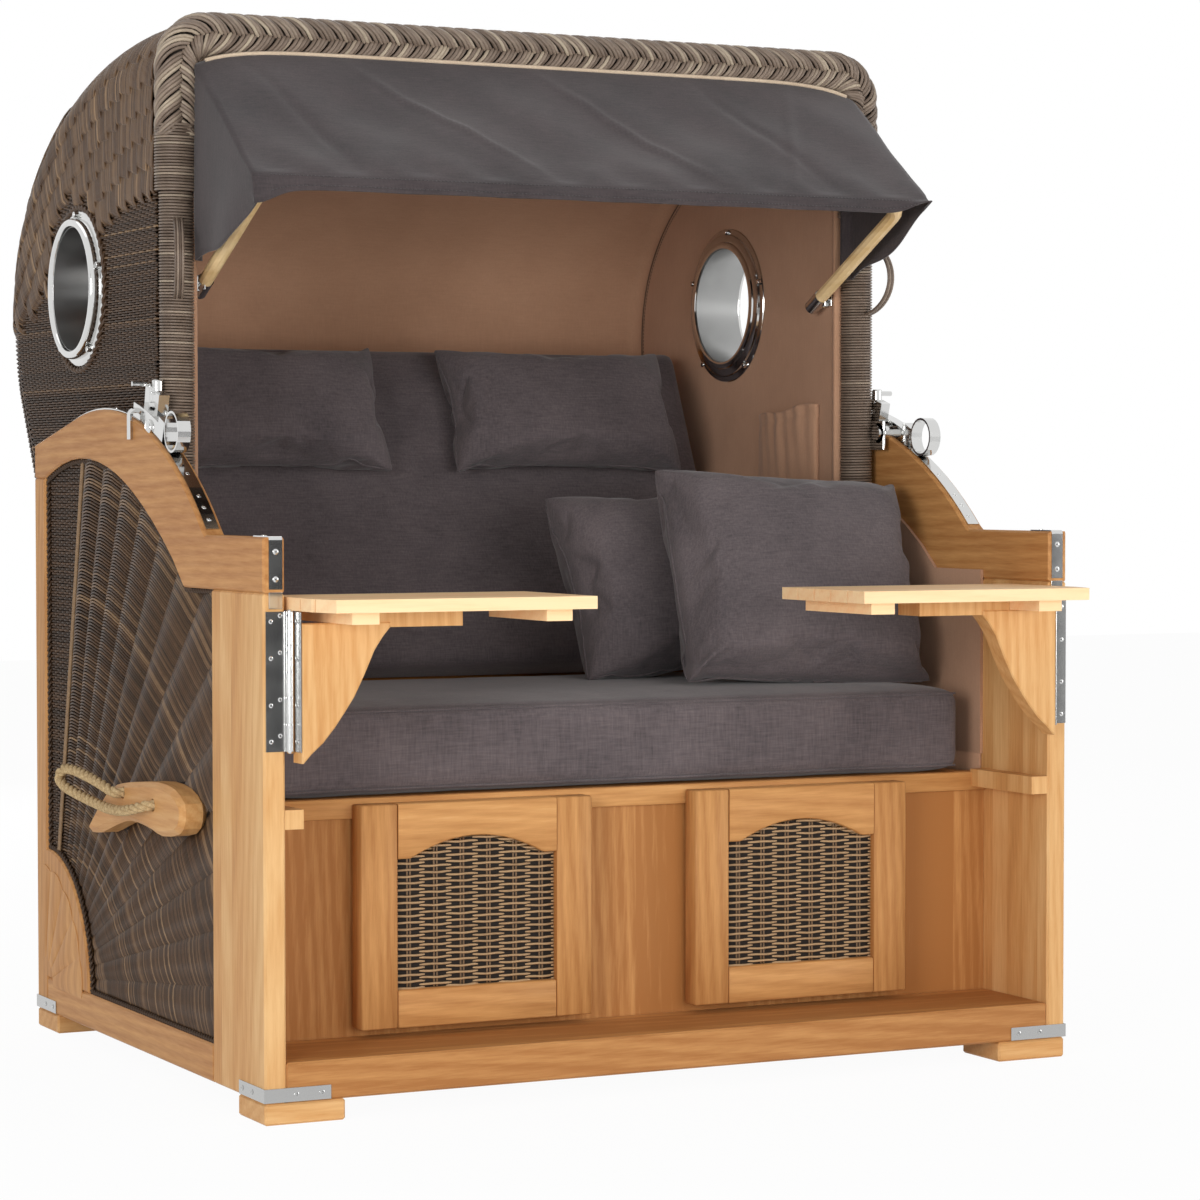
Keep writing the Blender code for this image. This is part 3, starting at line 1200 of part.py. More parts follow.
def flap(shape, edge_verts, turned):
    """A hanging end piece between the sloping edge of the awning and its own lower hem."""
    top, hem = edge_verts[0].co, edge_verts[-1].co
    rear = Vector((top.x, top.y, top.z - AWNING_FLAP_LENGTH))
    lower = []
    count = len(edge_verts)
    for i, vert in enumerate(edge_verts[:-1]):
        share = i / (count - 1)
        lower.append(rear.lerp(hem, share))
    shelf = [shape.verts.new(place) for place in lower] + [edge_verts[-1]]
    for i in range(count - 1):
        a, b, c, d = edge_verts[i], edge_verts[i + 1], shelf[i + 1], shelf[i]
        ring = [a, b, d] if b is c else [a, b, c, d]
        shape.faces.new(ring if turned else ring[::-1])


# Cushions

def cushion_mesh(width, height, edge, crown, cells, flat_back=False, draw=0.03, corner_pull=0.0):
    """A box cage with a crowned face, and sides that pull in between its corners.

    Half thickness grows from the edge by crown times (1 - u^4)(1 - v^4), and each side
    moves in by a share of the half size times (1 - s^2), with s along that side.
    """
    across, up = cells
    shape = bmesh.new()
    bmesh.ops.create_cube(shape, size=2)
    long_x = [e for e in shape.edges if abs(e.verts[0].co.x - e.verts[1].co.x) > 1]
    bmesh.ops.subdivide_edges(shape, edges=long_x, cuts=across - 1, use_grid_fill=True)
    long_y = [e for e in shape.edges if abs(e.verts[0].co.y - e.verts[1].co.y) > 1]
    bmesh.ops.subdivide_edges(shape, edges=long_y, cuts=up - 1, use_grid_fill=True)
    for vert in shape.verts:
        u, v, w = vert.co
        swell = crown * (1 - u**4) * (1 - v**4)
        if w < 0 and flat_back:
            swell = 0
        x = u * width / 2 * (1 - draw * (1 - v * v)) + corner_pull * u * (v * v) ** 2
        y = v * height / 2 * (1 - draw * (1 - u * u)) + corner_pull * v * (u * u) ** 2
        vert.co = (x, y, w * (edge / 2 + swell))
    bmesh.ops.recalc_face_normals(shape, faces=shape.faces)
    mesh = bpy.data.meshes.new("cushion")
    shape.to_mesh(mesh)
    shape.free()
    return mesh


def cushion(name, mesh, place, lean, spin=0.0, pivot=None):
    """Stand a cushion on its place: lean back from upright, and spin in its own plane, in degrees."""
    turn = Matrix.Rotation(radians(90 - lean), 4, "X") @ Matrix.Rotation(radians(spin), 4, "Z")
    mesh.transform(Matrix.Translation(place) @ turn)
    piece = add(name, mesh, "charcoal", pivot)
    soft = piece.modifiers.new("soft", "SUBSURF")
    soft.levels = soft.render_levels = 1
    piece.data.shade_smooth()
    return piece


def surface_of(piece):
    """The piece's faces in world space, for measuring how far it is from another."""
    mesh = evaluated_mesh(piece)
    mesh.transform(piece.matrix_world)
    places = [vert.co.copy() for vert in mesh.vertices]
    faces = [tuple(face.vertices) for face in mesh.polygons]
    bpy.data.meshes.remove(mesh)
    return places, faces


def settle(piece, carrier, direction):
    """Move the piece along a direction until it lies a clearance from its carrier."""
    direction = Vector(direction).normalized()
    own_places, own_faces = surface_of(piece)
    their_places, their_faces = surface_of(carrier)
    theirs = BVHTree.FromPolygons(their_places, their_faces)
    own = BVHTree.FromPolygons(own_places, own_faces)
    spans = [theirs.ray_cast(place, direction)[3] for place in own_places]
    spans += [own.ray_cast(place, -direction)[3] for place in their_places]
    travel = min(span for span in spans if span is not None) - FORM_GAP
    piece.data.transform(Matrix.Translation(direction * travel))


def cushions():
    middle = (SEAT_CUSHION_FRONT + SEAT_CUSHION_BACK) / 2
    depth = SEAT_CUSHION_BACK - SEAT_CUSHION_FRONT
    mesh = cushion_mesh(2 * SEAT_CUSHION_HALF, depth, SEAT_CUSHION_EDGE, SEAT_CROWN, (8, 5), True, 0.006)
    seat = cushion("seat_cushion", mesh, (0, middle, SEAT_RAIL_TOP + GAP + SEAT_CUSHION_EDGE / 2), 90)

    lean = radians(BACK_LEAN)
    up, front = Vector((0, sin(lean), cos(lean))), Vector((0, -cos(lean), sin(lean)))
    foot = Vector((0, BACK_FOOT_Y, BACK_FOOT_Z))
    centre = foot + up * BACK_CUSHION_LENGTH / 2 - front * BACK_CUSHION_EDGE / 2
    mesh = cushion_mesh(2 * BACK_CUSHION_HALF, BACK_CUSHION_LENGTH, BACK_CUSHION_EDGE, BACK_CROWN,
                        (8, 5), True, 0.006)
    back = cushion("back_cushion", mesh, centre, BACK_LEAN, pivot=HOOD)

    behind = foot - front * (BACK_CUSHION_EDGE + GAP)
    corners = [behind - up * BACKREST_BELOW, behind + up * (BACK_CUSHION_LENGTH + BACKREST_ABOVE)]
    corners += [corner - front * BACKREST_THICKNESS for corner in reversed(corners)]
    half = LINING_INNER_HALF - GAP
    plate("backrest", [[(c.y, c.z) for c in corners]], -half, half, "x", "teak", HOOD)

    for (name, _), share in zip(SIDES, NECK_CENTRE_SHARES):
        x = share * BACK_CUSHION_HALF
        mesh = cushion_mesh(NECK_WIDTH, NECK_HEIGHT, NECK_EDGE, NECK_CROWN, (6, 4), False, 0.035, NECK_EARS)
        place = foot + up * BACK_CUSHION_LENGTH * NECK_UP_SHARE + front * BACK_CUSHION_EDGE
        pillow = cushion(f"neck_pillow_{name}", mesh, place + Vector((x, 0, 0)), BACK_LEAN, pivot=HOOD)
        settle(pillow, back, -front)

    rows = zip(("front", "rear"), SQUARE_PLACE_SHARES, SQUARE_SIZE_SHARES, SQUARE_TILTS, SQUARE_SPINS)
    for name, (across, back_share), size_share, tilt, spin in rows:
        width, height = SQUARE_WIDTH * size_share, SQUARE_HEIGHT * size_share
        mesh = cushion_mesh(width, height, SQUARE_EDGE, SQUARE_CROWN, (5, 5), False, 0.04, SQUARE_EARS)
        place = (across * SEAT_CUSHION_HALF, SEAT_CUSHION_FRONT + back_share * depth,
                 SEAT_RAIL_TOP + SEAT_CUSHION_EDGE + height)
        pillow = cushion(f"square_pillow_{name}", mesh, place, tilt, spin)
        settle(pillow, seat, (0, 0, -1))


clear_scene()
PARTS = new_collection("hooded_beach_chair")
CUTTERS = new_collection("cutters")
MATERIALS = make_finishes()
FRONT_MOST, REAR_MOST = TABLE_FRONT, HOOD_BACK_Y
CHAIR = new_pivot("chair", (0, -(FRONT_MOST + REAR_MOST) / 2, 0))
HOOD = new_pivot("hood_axis", (0, AXLE_Y, AXLE_Z), RECLINE_LIMIT)

for side_name, side_sign in SIDES:
    side_frame(side_name, side_sign)
    side_skins(side_name, side_sign)
feet()
cross_boards()
seat_box()
guide_strips()
rope_handles()
tables()
footrests()
hood_bodies()
portholes()
hood_rim()
hood_arms()
clamps()
awning_bow()
awning()
cushions()
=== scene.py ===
"""Looks of the hooded beach chair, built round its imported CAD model.

Lengths are metres. Places are written in the chair's own frame, where y is measured back from
the front of the posts; on_floor() moves them to the model's frame. Left is the viewer's left.
"""
import math

import bmesh
import bpy
import numpy as np
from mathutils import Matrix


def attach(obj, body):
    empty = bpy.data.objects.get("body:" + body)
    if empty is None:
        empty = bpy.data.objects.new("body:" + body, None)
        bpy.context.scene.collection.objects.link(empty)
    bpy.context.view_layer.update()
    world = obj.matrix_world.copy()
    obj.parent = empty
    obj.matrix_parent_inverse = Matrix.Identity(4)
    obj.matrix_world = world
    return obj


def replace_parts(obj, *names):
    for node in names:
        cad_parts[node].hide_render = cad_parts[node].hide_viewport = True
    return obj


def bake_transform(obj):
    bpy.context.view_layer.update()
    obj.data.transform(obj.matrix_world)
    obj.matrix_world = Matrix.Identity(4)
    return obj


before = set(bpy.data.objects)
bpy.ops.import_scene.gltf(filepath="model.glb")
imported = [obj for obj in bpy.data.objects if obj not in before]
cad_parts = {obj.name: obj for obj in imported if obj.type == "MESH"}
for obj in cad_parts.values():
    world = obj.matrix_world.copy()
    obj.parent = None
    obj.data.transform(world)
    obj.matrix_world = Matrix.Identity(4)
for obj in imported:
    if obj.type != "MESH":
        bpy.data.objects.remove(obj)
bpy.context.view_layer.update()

SETBACK = 0.595
SIDES = (("left", -1), ("right", 1))
PI = math.pi

# Sizes repeated from the CAD model
POST_DEPTH = 0.206
POST_TOP = 0.738
BOX_DEPTH = 1.036
STILE_DEPTH = 0.051
STILE_TOP = 0.897
HALF_WIDTH = 0.66
SIDE_FACE = HALF_WIDTH - 0.010
BOTTOM_RAIL_TOP = 0.085
FAN_RADIUS = 0.21
AXLE_Y, AXLE_Z = 0.70, 0.336
GUIDE_RADIUS = 0.667
ARCH_START = 0.325
ARCH_CREST = 0.928
ARCH_CREST_SHARE = 0.72
ARCH_FULLNESS = 0.85
HOOD_HALF = 0.62
HOOD_TOP = 1.59
HOOD_SHOULDER_Y = 0.60
HOOD_BACK_Y = 1.33
HOOD_BACK_Z = 1.14
HOOD_ROUNDNESS = 2.2
TUCK_DEPTH, TUCK_HEIGHT, TUCK_ANGLE = 0.45, 0.35, 23.5
TAIL_SLOPE, TAIL_Z = 0.56, 0.50
HOOD_CORNER = 0.085
HOOD_FRONT = 0.5628
SIDE_FOOT_Z = 0.86
RIM_Y, RIM_X, RIM_RADIUS = 0.53, 0.5945, 0.0255
PLAIT_RADIUS = 0.0325
RIM_TOP = 1.5675
RIM_CORNER = 0.05
PORT_Y, PORT_Z = 0.915, 1.2
BOW_Y, BOW_Z, BOW_X = 0.573, 1.187, 0.54
BOW_FRONT_Y, BOW_FRONT_Z = 0.283, 1.335
HANDLE_Y, HANDLE_Z = 0.25, 0.351
HANDLE_LENGTH, HANDLE_HEIGHT, HANDLE_PROUD = 0.423, 0.1, 0.042
HINGE_X, HINGE_Y = 0.6236, -0.0073
DOOR_MIDDLE, DOOR_HALF, DOOR_OPENING = 0.2725, 0.1855, 0.1275
DOOR_LOW, DOOR_HIGH, DOOR_FRONT, DOOR_BACK = 0.099, 0.425, 0.14, 0.175
DOOR_SILL, DOOR_SHOULDER, DOOR_RISE = 0.154, 0.345, 0.030

# The visual hood: its front edge, the round cuts in wall and weave, and where the weaves meet
HOOD_EDGE = 0.541
PORT_CUT, WEAVE_CUT = 0.1075, 0.112
WALL_X = 0.5
WEAVE_TOP, FLANK_TOP, FLANK_X = 1.36, 1.42, 0.54
STAKE, RISE = 0.0165, 0.0024


def on_floor(points):
    """Chair places as model places."""
    points = np.array(points, float)
    points[..., 1] -= SETBACK
    return points


# Meshes

def mesh_of(name, points, faces):
    """A mesh from an array of points and arrays of faces, each array with one count of corners."""
    mesh = bpy.data.meshes.new(name)
    points = on_floor(points).reshape(-1, 3)
    groups = faces if isinstance(faces, list) else [faces]
    groups = [np.asarray(group, np.int32) for group in groups if len(group)]
    corners = np.concatenate([group.ravel() for group in groups])
    totals = np.concatenate([np.full(len(group), group.shape[1], np.int32) for group in groups])
    mesh.vertices.add(len(points))
    mesh.vertices.foreach_set("co", points.ravel())
    mesh.loops.add(len(corners))
    mesh.loops.foreach_set("vertex_index", corners)
    mesh.polygons.add(len(totals))
    starts = np.concatenate([[0], np.cumsum(totals)[:-1]])
    mesh.polygons.foreach_set("loop_start", starts.astype(np.int32))
    mesh.polygons.foreach_set("loop_total", totals)
    mesh.update(calc_edges=True)
    mesh.validate()
    return mesh


def make(name, points, faces, body, finish, tint=None, sharp=None):
    """A piece in its place, riding on a body, with a finish and perhaps a tint at each point."""
    mesh = mesh_of(name, points, faces)
    if tint is not None:
        shade = mesh.attributes.new("tint", "FLOAT", "POINT")
        shade.data.foreach_set("value", np.ascontiguousarray(tint, np.float32).ravel())
    mesh.shade_smooth()
    if sharp:
        mesh.set_sharp_from_angle(angle=math.radians(sharp))
    mesh.materials.append(finish)
    piece = bpy.data.objects.new(name, mesh)
    bpy.context.scene.collection.objects.link(piece)
    if body:
        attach(piece, body)
    return piece


def grid(rows, cols, around=False, ring=False):
    """Faces between neighbours of a grid of points; around joins the last column to the first."""
    i = np.arange(rows if ring else rows - 1)[:, None]
    j = np.arange(cols if around else cols - 1)[None, :]
    a, b = i * cols + j, i * cols + (j + 1) % cols
    c, d = (i + 1) % rows * cols + (j + 1) % cols, (i + 1) % rows * cols + j
    return np.stack([a, b, c, d], -1).reshape(-1, 4)


def sweep(paths, normals, section, closed=False):
    """Bars along many paths at once.

    paths is (bars, steps, 3). The section's points are (across, off) offsets, across being the
    tangent times the normal, and may change from bar to bar and step to step.
    """
    paths = np.asarray(paths, float)
    normals = np.broadcast_to(normals, paths.shape)
    if closed:
        tangents = np.roll(paths, -1, 1) - np.roll(paths, 1, 1)
    else:
        tangents = np.gradient(paths, axis=1)
    tangents = tangents / np.maximum(np.linalg.norm(tangents, axis=-1, keepdims=True), 1e-12)
    across = np.cross(tangents, normals)
    across /= np.maximum(np.linalg.norm(across, axis=-1, keepdims=True), 1e-12)
    off = np.cross(across, tangents)
    section = np.asarray(section, float)
    bars, steps = paths.shape[:2]
    sides = section.shape[-2]
    section = np.broadcast_to(section, (bars, steps, sides, 2))
    points = (paths[:, :, None] + across[:, :, None] * section[..., :1]
              + off[:, :, None] * section[..., 1:])
    one = grid(steps, sides, around=True, ring=closed)[:, ::-1]
    faces = (one[None] + np.arange(bars)[:, None, None] * steps * sides).reshape(-1, 4)
    groups = [faces]
    if not closed:
        starts = np.arange(bars)[:, None] * steps * sides
        groups.append(starts + np.arange(sides)[None])
        groups.append(starts + (steps - 1) * sides + np.arange(sides)[None, ::-1])
    return points.reshape(-1, 3), groups


def disc(radius, sides):
    """A round section."""
    turn = np.arange(sides) / sides * 2 * PI
    return np.stack([np.cos(turn) * radius, np.sin(turn) * radius], -1)


def round_topped(half, foot, shoulder, top):
    """A strand's section from edge to edge: flat below, rounded above."""
    return np.array([(-half, foot), (-half * shoulder, top), (half * shoulder, top), (half, foot)])


def smooth_path(points, steps):
    """A smooth curve through chosen points, cubic between each two of them."""
    data = np.array(points, float)
    padded = np.vstack([2 * data[0] - data[1], data, 2 * data[-1] - data[-2]])
    t = np.linspace(0, 1, steps, endpoint=False)[:, None]
    runs = []
    for a, b, c, d in zip(padded, padded[1:], padded[2:], padded[3:]):
        runs.append(0.5 * (2 * b + (c - a) * t + (2 * a - 5 * b + 4 * c - d) * t**2
                           + (3 * b - a - 3 * c + d) * t**3))
    return np.vstack([*runs, data[-1:]])


def along(path, places):
    """Points at given distances along a path."""
    path = np.asarray(path, float)
    far = np.concatenate([[0], np.cumsum(np.linalg.norm(np.diff(path, axis=0), axis=1))])
    return np.stack([np.interp(places, far, path[:, k]) for k in range(path.shape[1])], -1), far[-1]


def facing_out(points, groups):
    """The shape with its faces turned outwards, judged by the sign of its volume."""
    groups = [np.asarray(group) for group in (groups if isinstance(groups, list) else [groups])]
    volume = 0.0
    for group in groups:
        corners = points[group]
        for k in range(1, group.shape[1] - 1):
            volume += np.einsum("ij,ij->", corners[:, 0], np.cross(corners[:, k], corners[:, k + 1]))
    return points, [group[:, ::-1] if volume < 0 else group for group in groups]


def eased(path, rounds, ring=False):
    """A path with each point moved to the mean of itself and its neighbours, some times over."""
    for _ in range(rounds):
        if ring:
            path = (np.roll(path, 1, 0) + 2 * path + np.roll(path, -1, 0)) / 4
        else:
            path = np.vstack([path[:1], (path[:-2] + 2 * path[1:-1] + path[2:]) / 4, path[-1:]])
    return path


def merge(*parts):
    """Several (points, faces) shapes as one."""
    points, groups, start = [], [], 0
    for part_points, part_faces in parts:
        part_points = np.asarray(part_points).reshape(-1, 3)
        for group in part_faces if isinstance(part_faces, list) else [part_faces]:
            groups.append(np.asarray(group) + start)
        points.append(part_points)
        start += len(part_points)
    return np.concatenate(points), groups


def turned(profile, centre, axis, steps=48):
    """A closed (radius, height) profile turned about an axis through a centre."""
    profile = np.array(profile, float)
    axis = np.array(axis, float)
    side = np.cross(axis, (0.31, 0.2, 0.93))
    side /= np.linalg.norm(side)
    other = np.cross(axis, side)
    turn = np.linspace(0, 2 * PI, steps, endpoint=False)[:, None, None]
    points = (np.array(centre) + axis * profile[None, :, 1:]
              + (np.cos(turn) * side + np.sin(turn) * other) * profile[None, :, :1])
    return points.reshape(-1, 3), [grid(steps, len(profile), around=True, ring=True)]


def block(low, high, bevel=0.001):
    """A box whose edges are cut back, from eight corners drawn in along each axis in turn."""
    low, high = np.array(low, float), np.array(high, float)
    signs = np.array([(x, y, z) for x in (0, 1) for y in (0, 1) for z in (0, 1)], float)
    inward = 1 - 2 * signs
    corner = low + (high - low) * signs
    points = (corner[:, None] + inward[:, None] * (1 - np.eye(3))[None] * bevel).reshape(-1, 3)
    at = {tuple(map(int, sign)): 3 * k for k, sign in enumerate(signs)}
    quads, tris = [], []
    for axis in range(3):
        u, v = (axis + 1) % 3, (axis + 2) % 3
        for end in (0, 1):
            ring = []
            for a, b in ((0, 0), (1, 0), (1, 1), (0, 1)):
                key = [0, 0, 0]
                key[axis], key[u], key[v] = end, a, b
                ring.append(at[tuple(key)] + axis)
            quads.append(ring if end else ring[::-1])
        for a in (0, 1):
            for b in (0, 1):
                ends = []
                for end in (0, 1):
                    key = [0, 0, 0]
                    key[axis], key[u], key[v] = end, a, b
                    ends.append(at[tuple(key)])
                ring = [ends[0] + u, ends[1] + u, ends[1] + v, ends[0] + v]
                quads.append(ring if a != b else ring[::-1])
    for key, start in at.items():
        tris.append([start, start + 1, start + 2] if sum(key) % 2 else [start, start + 2, start + 1])
    return points, [np.array(quads), np.array(tris)]


def weld_mesh(mesh, near=0.00001):
    """Merge doubles and drop faces that have no area."""
    shape = bmesh.new()
    shape.from_mesh(mesh)
    bmesh.ops.remove_doubles(shape, verts=shape.verts, dist=near)
    bmesh.ops.dissolve_degenerate(shape, edges=shape.edges, dist=near)
    loose = [vert for vert in shape.verts if not vert.link_faces]
    bmesh.ops.delete(shape, geom=loose, context="VERTS")
    shape.to_mesh(mesh)
    shape.free()


def drop_loose(mesh):
    """Drop points that no face uses."""
    shape = bmesh.new()
    shape.from_mesh(mesh)
    bmesh.ops.delete(shape, geom=[v for v in shape.verts if not v.link_faces], context="VERTS")
    shape.to_mesh(mesh)
    shape.free()


def bridged(faces, count):
    """Faces of two copies of a grid, count points apart, and of the walls between their open edges."""
    edges = np.concatenate([faces[:, [k, (k + 1) % 4]] for k in range(4)])
    code = edges[:, 0] * count + edges[:, 1]
    a, b = edges[~np.isin(code, edges[:, 1] * count + edges[:, 0])].T
    bridge = np.stack([b, a, a + count, b + count], 1)
    return np.concatenate([faces, faces[:, ::-1] + count, bridge]), np.unique(bridge)


# Finishes

def linear(*colour):
    """An sRGB colour, 0 to 1, as the linear one that shaders take."""
    return (*(c / 12.92 if c <= 0.04045 else ((c + 0.055) / 1.055) ** 2.4 for c in colour), 1.0)


class Finish:
    """A material's node tree, with short ways to add nodes and link them."""

    def __init__(self, name, slot, **sockets):
        """A material; its slot is not used; sockets are the shader's own, _ for a space."""
        self.material = bpy.data.materials.new(name)
        self.material.use_nodes = True
        self.tree = self.material.node_tree
        self.shader = self.tree.nodes["Principled BSDF"]
        for socket, value in sockets.items():
            self.shader.inputs[socket.replace("_", " ")].default_value = value
        coords = self.tree.nodes.new("ShaderNodeTexCoord")
        self.place = coords.outputs["Object"]

    def add(self, kind, inputs=None, **settings):
        """A node; its inputs are numbers, colours or other nodes' outputs."""
        node = self.tree.nodes.new("ShaderNode" + kind)
        for key, value in settings.items():
            setattr(node, key, value)
        for key, value in (inputs or {}).items():
            if isinstance(value, bpy.types.NodeSocket):
                self.tree.links.new(value, node.inputs[key])
            else:
                node.inputs[key].default_value = value
        return node

    def mapped(self, scale, shift=(0, 0, 0)):
        """The place on the piece, scaled and shifted."""
        return self.add("Mapping", {"Vector": self.place, "Scale": scale, "Location": shift}).outputs[0]

    def noise(self, where, scale, detail=3.0, rough=0.5, distortion=0.0):
        """Cloudy noise, 0 to 1."""
        return self.add("TexNoise", {"Vector": where, "Scale": scale, "Detail": detail,
                                     "Roughness": rough, "Distortion": distortion}).outputs["Fac"]

    def rings(self, where, scale, distortion, detail, detail_scale):
        """Growth rings round the piece's own middle, 0 to 1."""
        return self.add("TexWave", {"Vector": where, "Scale": scale, "Distortion": distortion,
                                    "Detail": detail, "Detail Scale": detail_scale},
                        wave_type="RINGS", rings_direction="SPHERICAL").outputs["Fac"]

    def math(self, operation, a, b=0.0):
        """One sum on two values."""
        return self.add("Math", {0: a, 1: b}, operation=operation).outputs[0]

    def total(self, *parts):
        """The sum of (value, weight) pairs and bare numbers, from left to right."""
        terms = [self.math("MULTIPLY", *part) if isinstance(part, tuple) else part for part in parts]
        whole = terms[0]
        for term in terms[1:]:
            whole = self.math("ADD", whole, term)
        return whole

    def vector(self, operation, a, b):
        """One sum on two vectors."""
        return self.add("VectorMath", {0: a, 1: b}, operation=operation).outputs[0]

    def ramp(self, factor, stops):
        """A colour from (place, colour) stops."""
        node = self.add("ValToRGB", {"Fac": factor})
        elements = node.color_ramp.elements
        while len(elements) < len(stops):
            elements.new(0.5)
        for element, (place, colour) in zip(elements, stops):
            element.position = place
            element.color = colour
        return node.outputs["Color"]

    def spread(self, value, low, high):
        """A value of 0 to 1 spread from low to high."""
        return self.add("MapRange", {"Value": value, "To Min": low, "To Max": high}).outputs[0]

    def wire(self, socket, value):
        """Feed a socket of the shader."""
        self.tree.links.new(value, self.shader.inputs[socket])

    def bump(self, height, strength, distance):
        """Relief from a height."""
        node = self.add("Bump", {"Height": height, "Strength": strength, "Distance": distance})
        self.wire("Normal", node.outputs["Normal"])


LIGHT_TEAK = linear(0.89, 0.72, 0.50)
MID_TEAK = linear(0.81, 0.60, 0.37)
DARK_TEAK = linear(0.66, 0.44, 0.24)
GOLDEN = (LIGHT_TEAK, MID_TEAK, DARK_TEAK)
# A paler copy of the golden teak for the table tops: painted light from above on their upper faces.
TOP_LIT_TEAK = (linear(1.0, 0.865, 0.68), linear(0.98, 0.80, 0.60), linear(0.87, 0.66, 0.46))


def teak(name, along_axis, seed, tone=0.0, strips=None, rails=None, shades=GOLDEN):
    """Bare golden teak with its grain along one axis: long streaks, growth lines and fine pores.

    strips is (axis, width): the board is then glued up from strips of slightly different tone.
    rails is (middle, half width) of a frame's opening: between the stiles the grain runs across
    instead, and a dark joint line follows each stile's edge.
    """
    wood = Finish(name, "teak", Roughness=0.52, Specular_IOR_Level=0.3)
    long, cross = 0.75, 11.0
    scale = [cross] * 3
    scale["xyz".index(along_axis)] = long
    shift = (seed * 3.1, seed * 1.7, seed * 2.3)
    where = wood.mapped(scale, shift)
    extra = []
    if strips:
        axis, width = strips
        part = wood.add("SeparateXYZ", {0: wood.place}).outputs["xyz".index(axis)]
        shifted = wood.math("ADD", part, seed * 0.013 + 5.0)
        strip = wood.math("FLOOR", wood.math("DIVIDE", shifted, width))
        step = wood.add("TexWhiteNoise", {"W": strip}, noise_dimensions="1D")
        offset = wood.vector("MULTIPLY", step.outputs["Color"], (7.0, 7.0, 7.0))
        where = wood.vector("ADD", where, offset)
        extra += [(step.outputs["Value"], 0.22), -0.11]
    if rails:
        middle, half, joint_width = *rails, 0.0007
        across = wood.add("SeparateXYZ", {0: wood.place}).outputs[0]
        off = wood.math("ABSOLUTE", wood.math("SUBTRACT", across, middle))
        crossing = wood.math("LESS_THAN", off, half)
        flat = wood.mapped((long, cross, cross), (shift[0] + 2, shift[1], shift[2] + 4))
        where = wood.add("Mix", {0: crossing, 4: where, 5: flat}, data_type="VECTOR").outputs[1]
        from_edge = wood.math("ABSOLUTE", wood.math("SUBTRACT", off, half))
        extra += [(crossing, -0.07), (wood.math("LESS_THAN", from_edge, joint_width), 0.5)]
    broad = wood.noise(where, 1.1, 2.0, 0.5, 0.9)
    lines = wood.rings(where, 2.1, 4.0, 3.0, 0.6)
    fine = wood.noise(wood.vector("MULTIPLY", where, (6.0, 6.0, 6.0)), 3.4, 5.0, 0.62)
    grain = wood.total((broad, 0.34), (lines, 0.10), (fine, 0.40), 0.10, *extra, tone)
    wood.wire("Base Color", wood.ramp(grain, list(zip((0.30, 0.56, 0.86), shades))))
    wood.wire("Roughness", wood.spread(fine, 0.44, 0.62))
    wood.bump(fine, 0.25, 0.0004)
    return wood.material


BROWN_STRAND = (linear(0.10, 0.07, 0.045), linear(0.335, 0.245, 0.17),
                linear(0.50, 0.395, 0.29), linear(0.68, 0.56, 0.42))
# For the plait, the wraps and the grips: greyer and lighter than the brown strands, partly their own grey,
# partly painted highlight of their gloss.
GREY_STRAND = (linear(0.13, 0.10, 0.08), linear(0.37, 0.31, 0.265),
               linear(0.54, 0.475, 0.42), linear(0.70, 0.64, 0.56))


def rattan(name, dark=0.0, rough=0.42, shades=BROWN_STRAND):
    """Round plastic strands: each one's tint goes from near black over grey-brown to pale straw."""
    strand = Finish(name, "polyrattan", Roughness=rough, Specular_IOR_Level=0.34)
    tint = strand.add("Attribute", attribute_name="tint", attribute_type="GEOMETRY").outputs["Fac"]
    speckle = strand.noise(strand.mapped((90, 90, 90)), 1.0, 2.0)
    value = strand.total(tint, (strand.math("SUBTRACT", speckle, 0.5), 0.22), -dark)
    strand.wire("Base Color", strand.ramp(value, list(zip((0.0, 0.45, 0.78, 1.0), shades))))
    strand.wire("Roughness", strand.spread(speckle, rough - 0.06, rough + 0.10))
    return strand.material


def cloth(name, slot, colour, deep, weave, bump, slub=0.5):
    """Plain-woven cloth: two crossed sets of threads, slubs along them and soft mottling."""
    fabric = Finish(name, slot, Roughness=0.88, Sheen_Weight=0.18, Sheen_Roughness=0.5)
    slack = weave * 0.09
    warp = fabric.noise(fabric.mapped((weave, weave, slack)), 1.0, 2.0, 0.6)
    weft = fabric.noise(fabric.mapped((slack, weave, weave)), 1.0, 2.0, 0.6)
    mottle = fabric.noise(fabric.mapped((7, 7, 7)), 1.0, 3.0, 0.6)
    threads = fabric.math("MULTIPLY", fabric.math("ADD", warp, weft), 0.5)
    mixed = fabric.total((threads, slub), (mottle, 1 - slub))
    fabric.wire("Base Color", fabric.ramp(mixed, [(0.34, deep), (0.66, colour)]))
    fabric.bump(threads, bump, 0.0006)
    return fabric.material


def steel(name, rough=0.1, tone=0.66):
    """Polished stainless steel, with the faint wavering of a hand-polished surface."""
    metal = Finish(name, "stainless", Metallic=1.0, Roughness=rough,
                   Base_Color=(tone, tone, tone * 0.985, 1))
    waver = metal.noise(metal.mapped((30, 30, 30)), 1.0)
    metal.wire("Roughness", metal.spread(waver, rough * 0.7, rough * 1.6))
    metal.bump(waver, 0.05, 0.0006)
    return metal.material


def cord_finish():
    """Hairy natural fibre."""
    fibre = Finish("twisted_rope", "rope", Roughness=0.9)
    hair = fibre.noise(fibre.mapped((260, 260, 260)), 1.0, 4.0, 0.7)
    fibre.wire("Base Color", fibre.ramp(hair, [(0.3, linear(0.62, 0.50, 0.34)),
                                               (0.7, linear(0.86, 0.76, 0.58))]))
    fibre.bump(hair, 0.5, 0.0008)
    return fibre.material


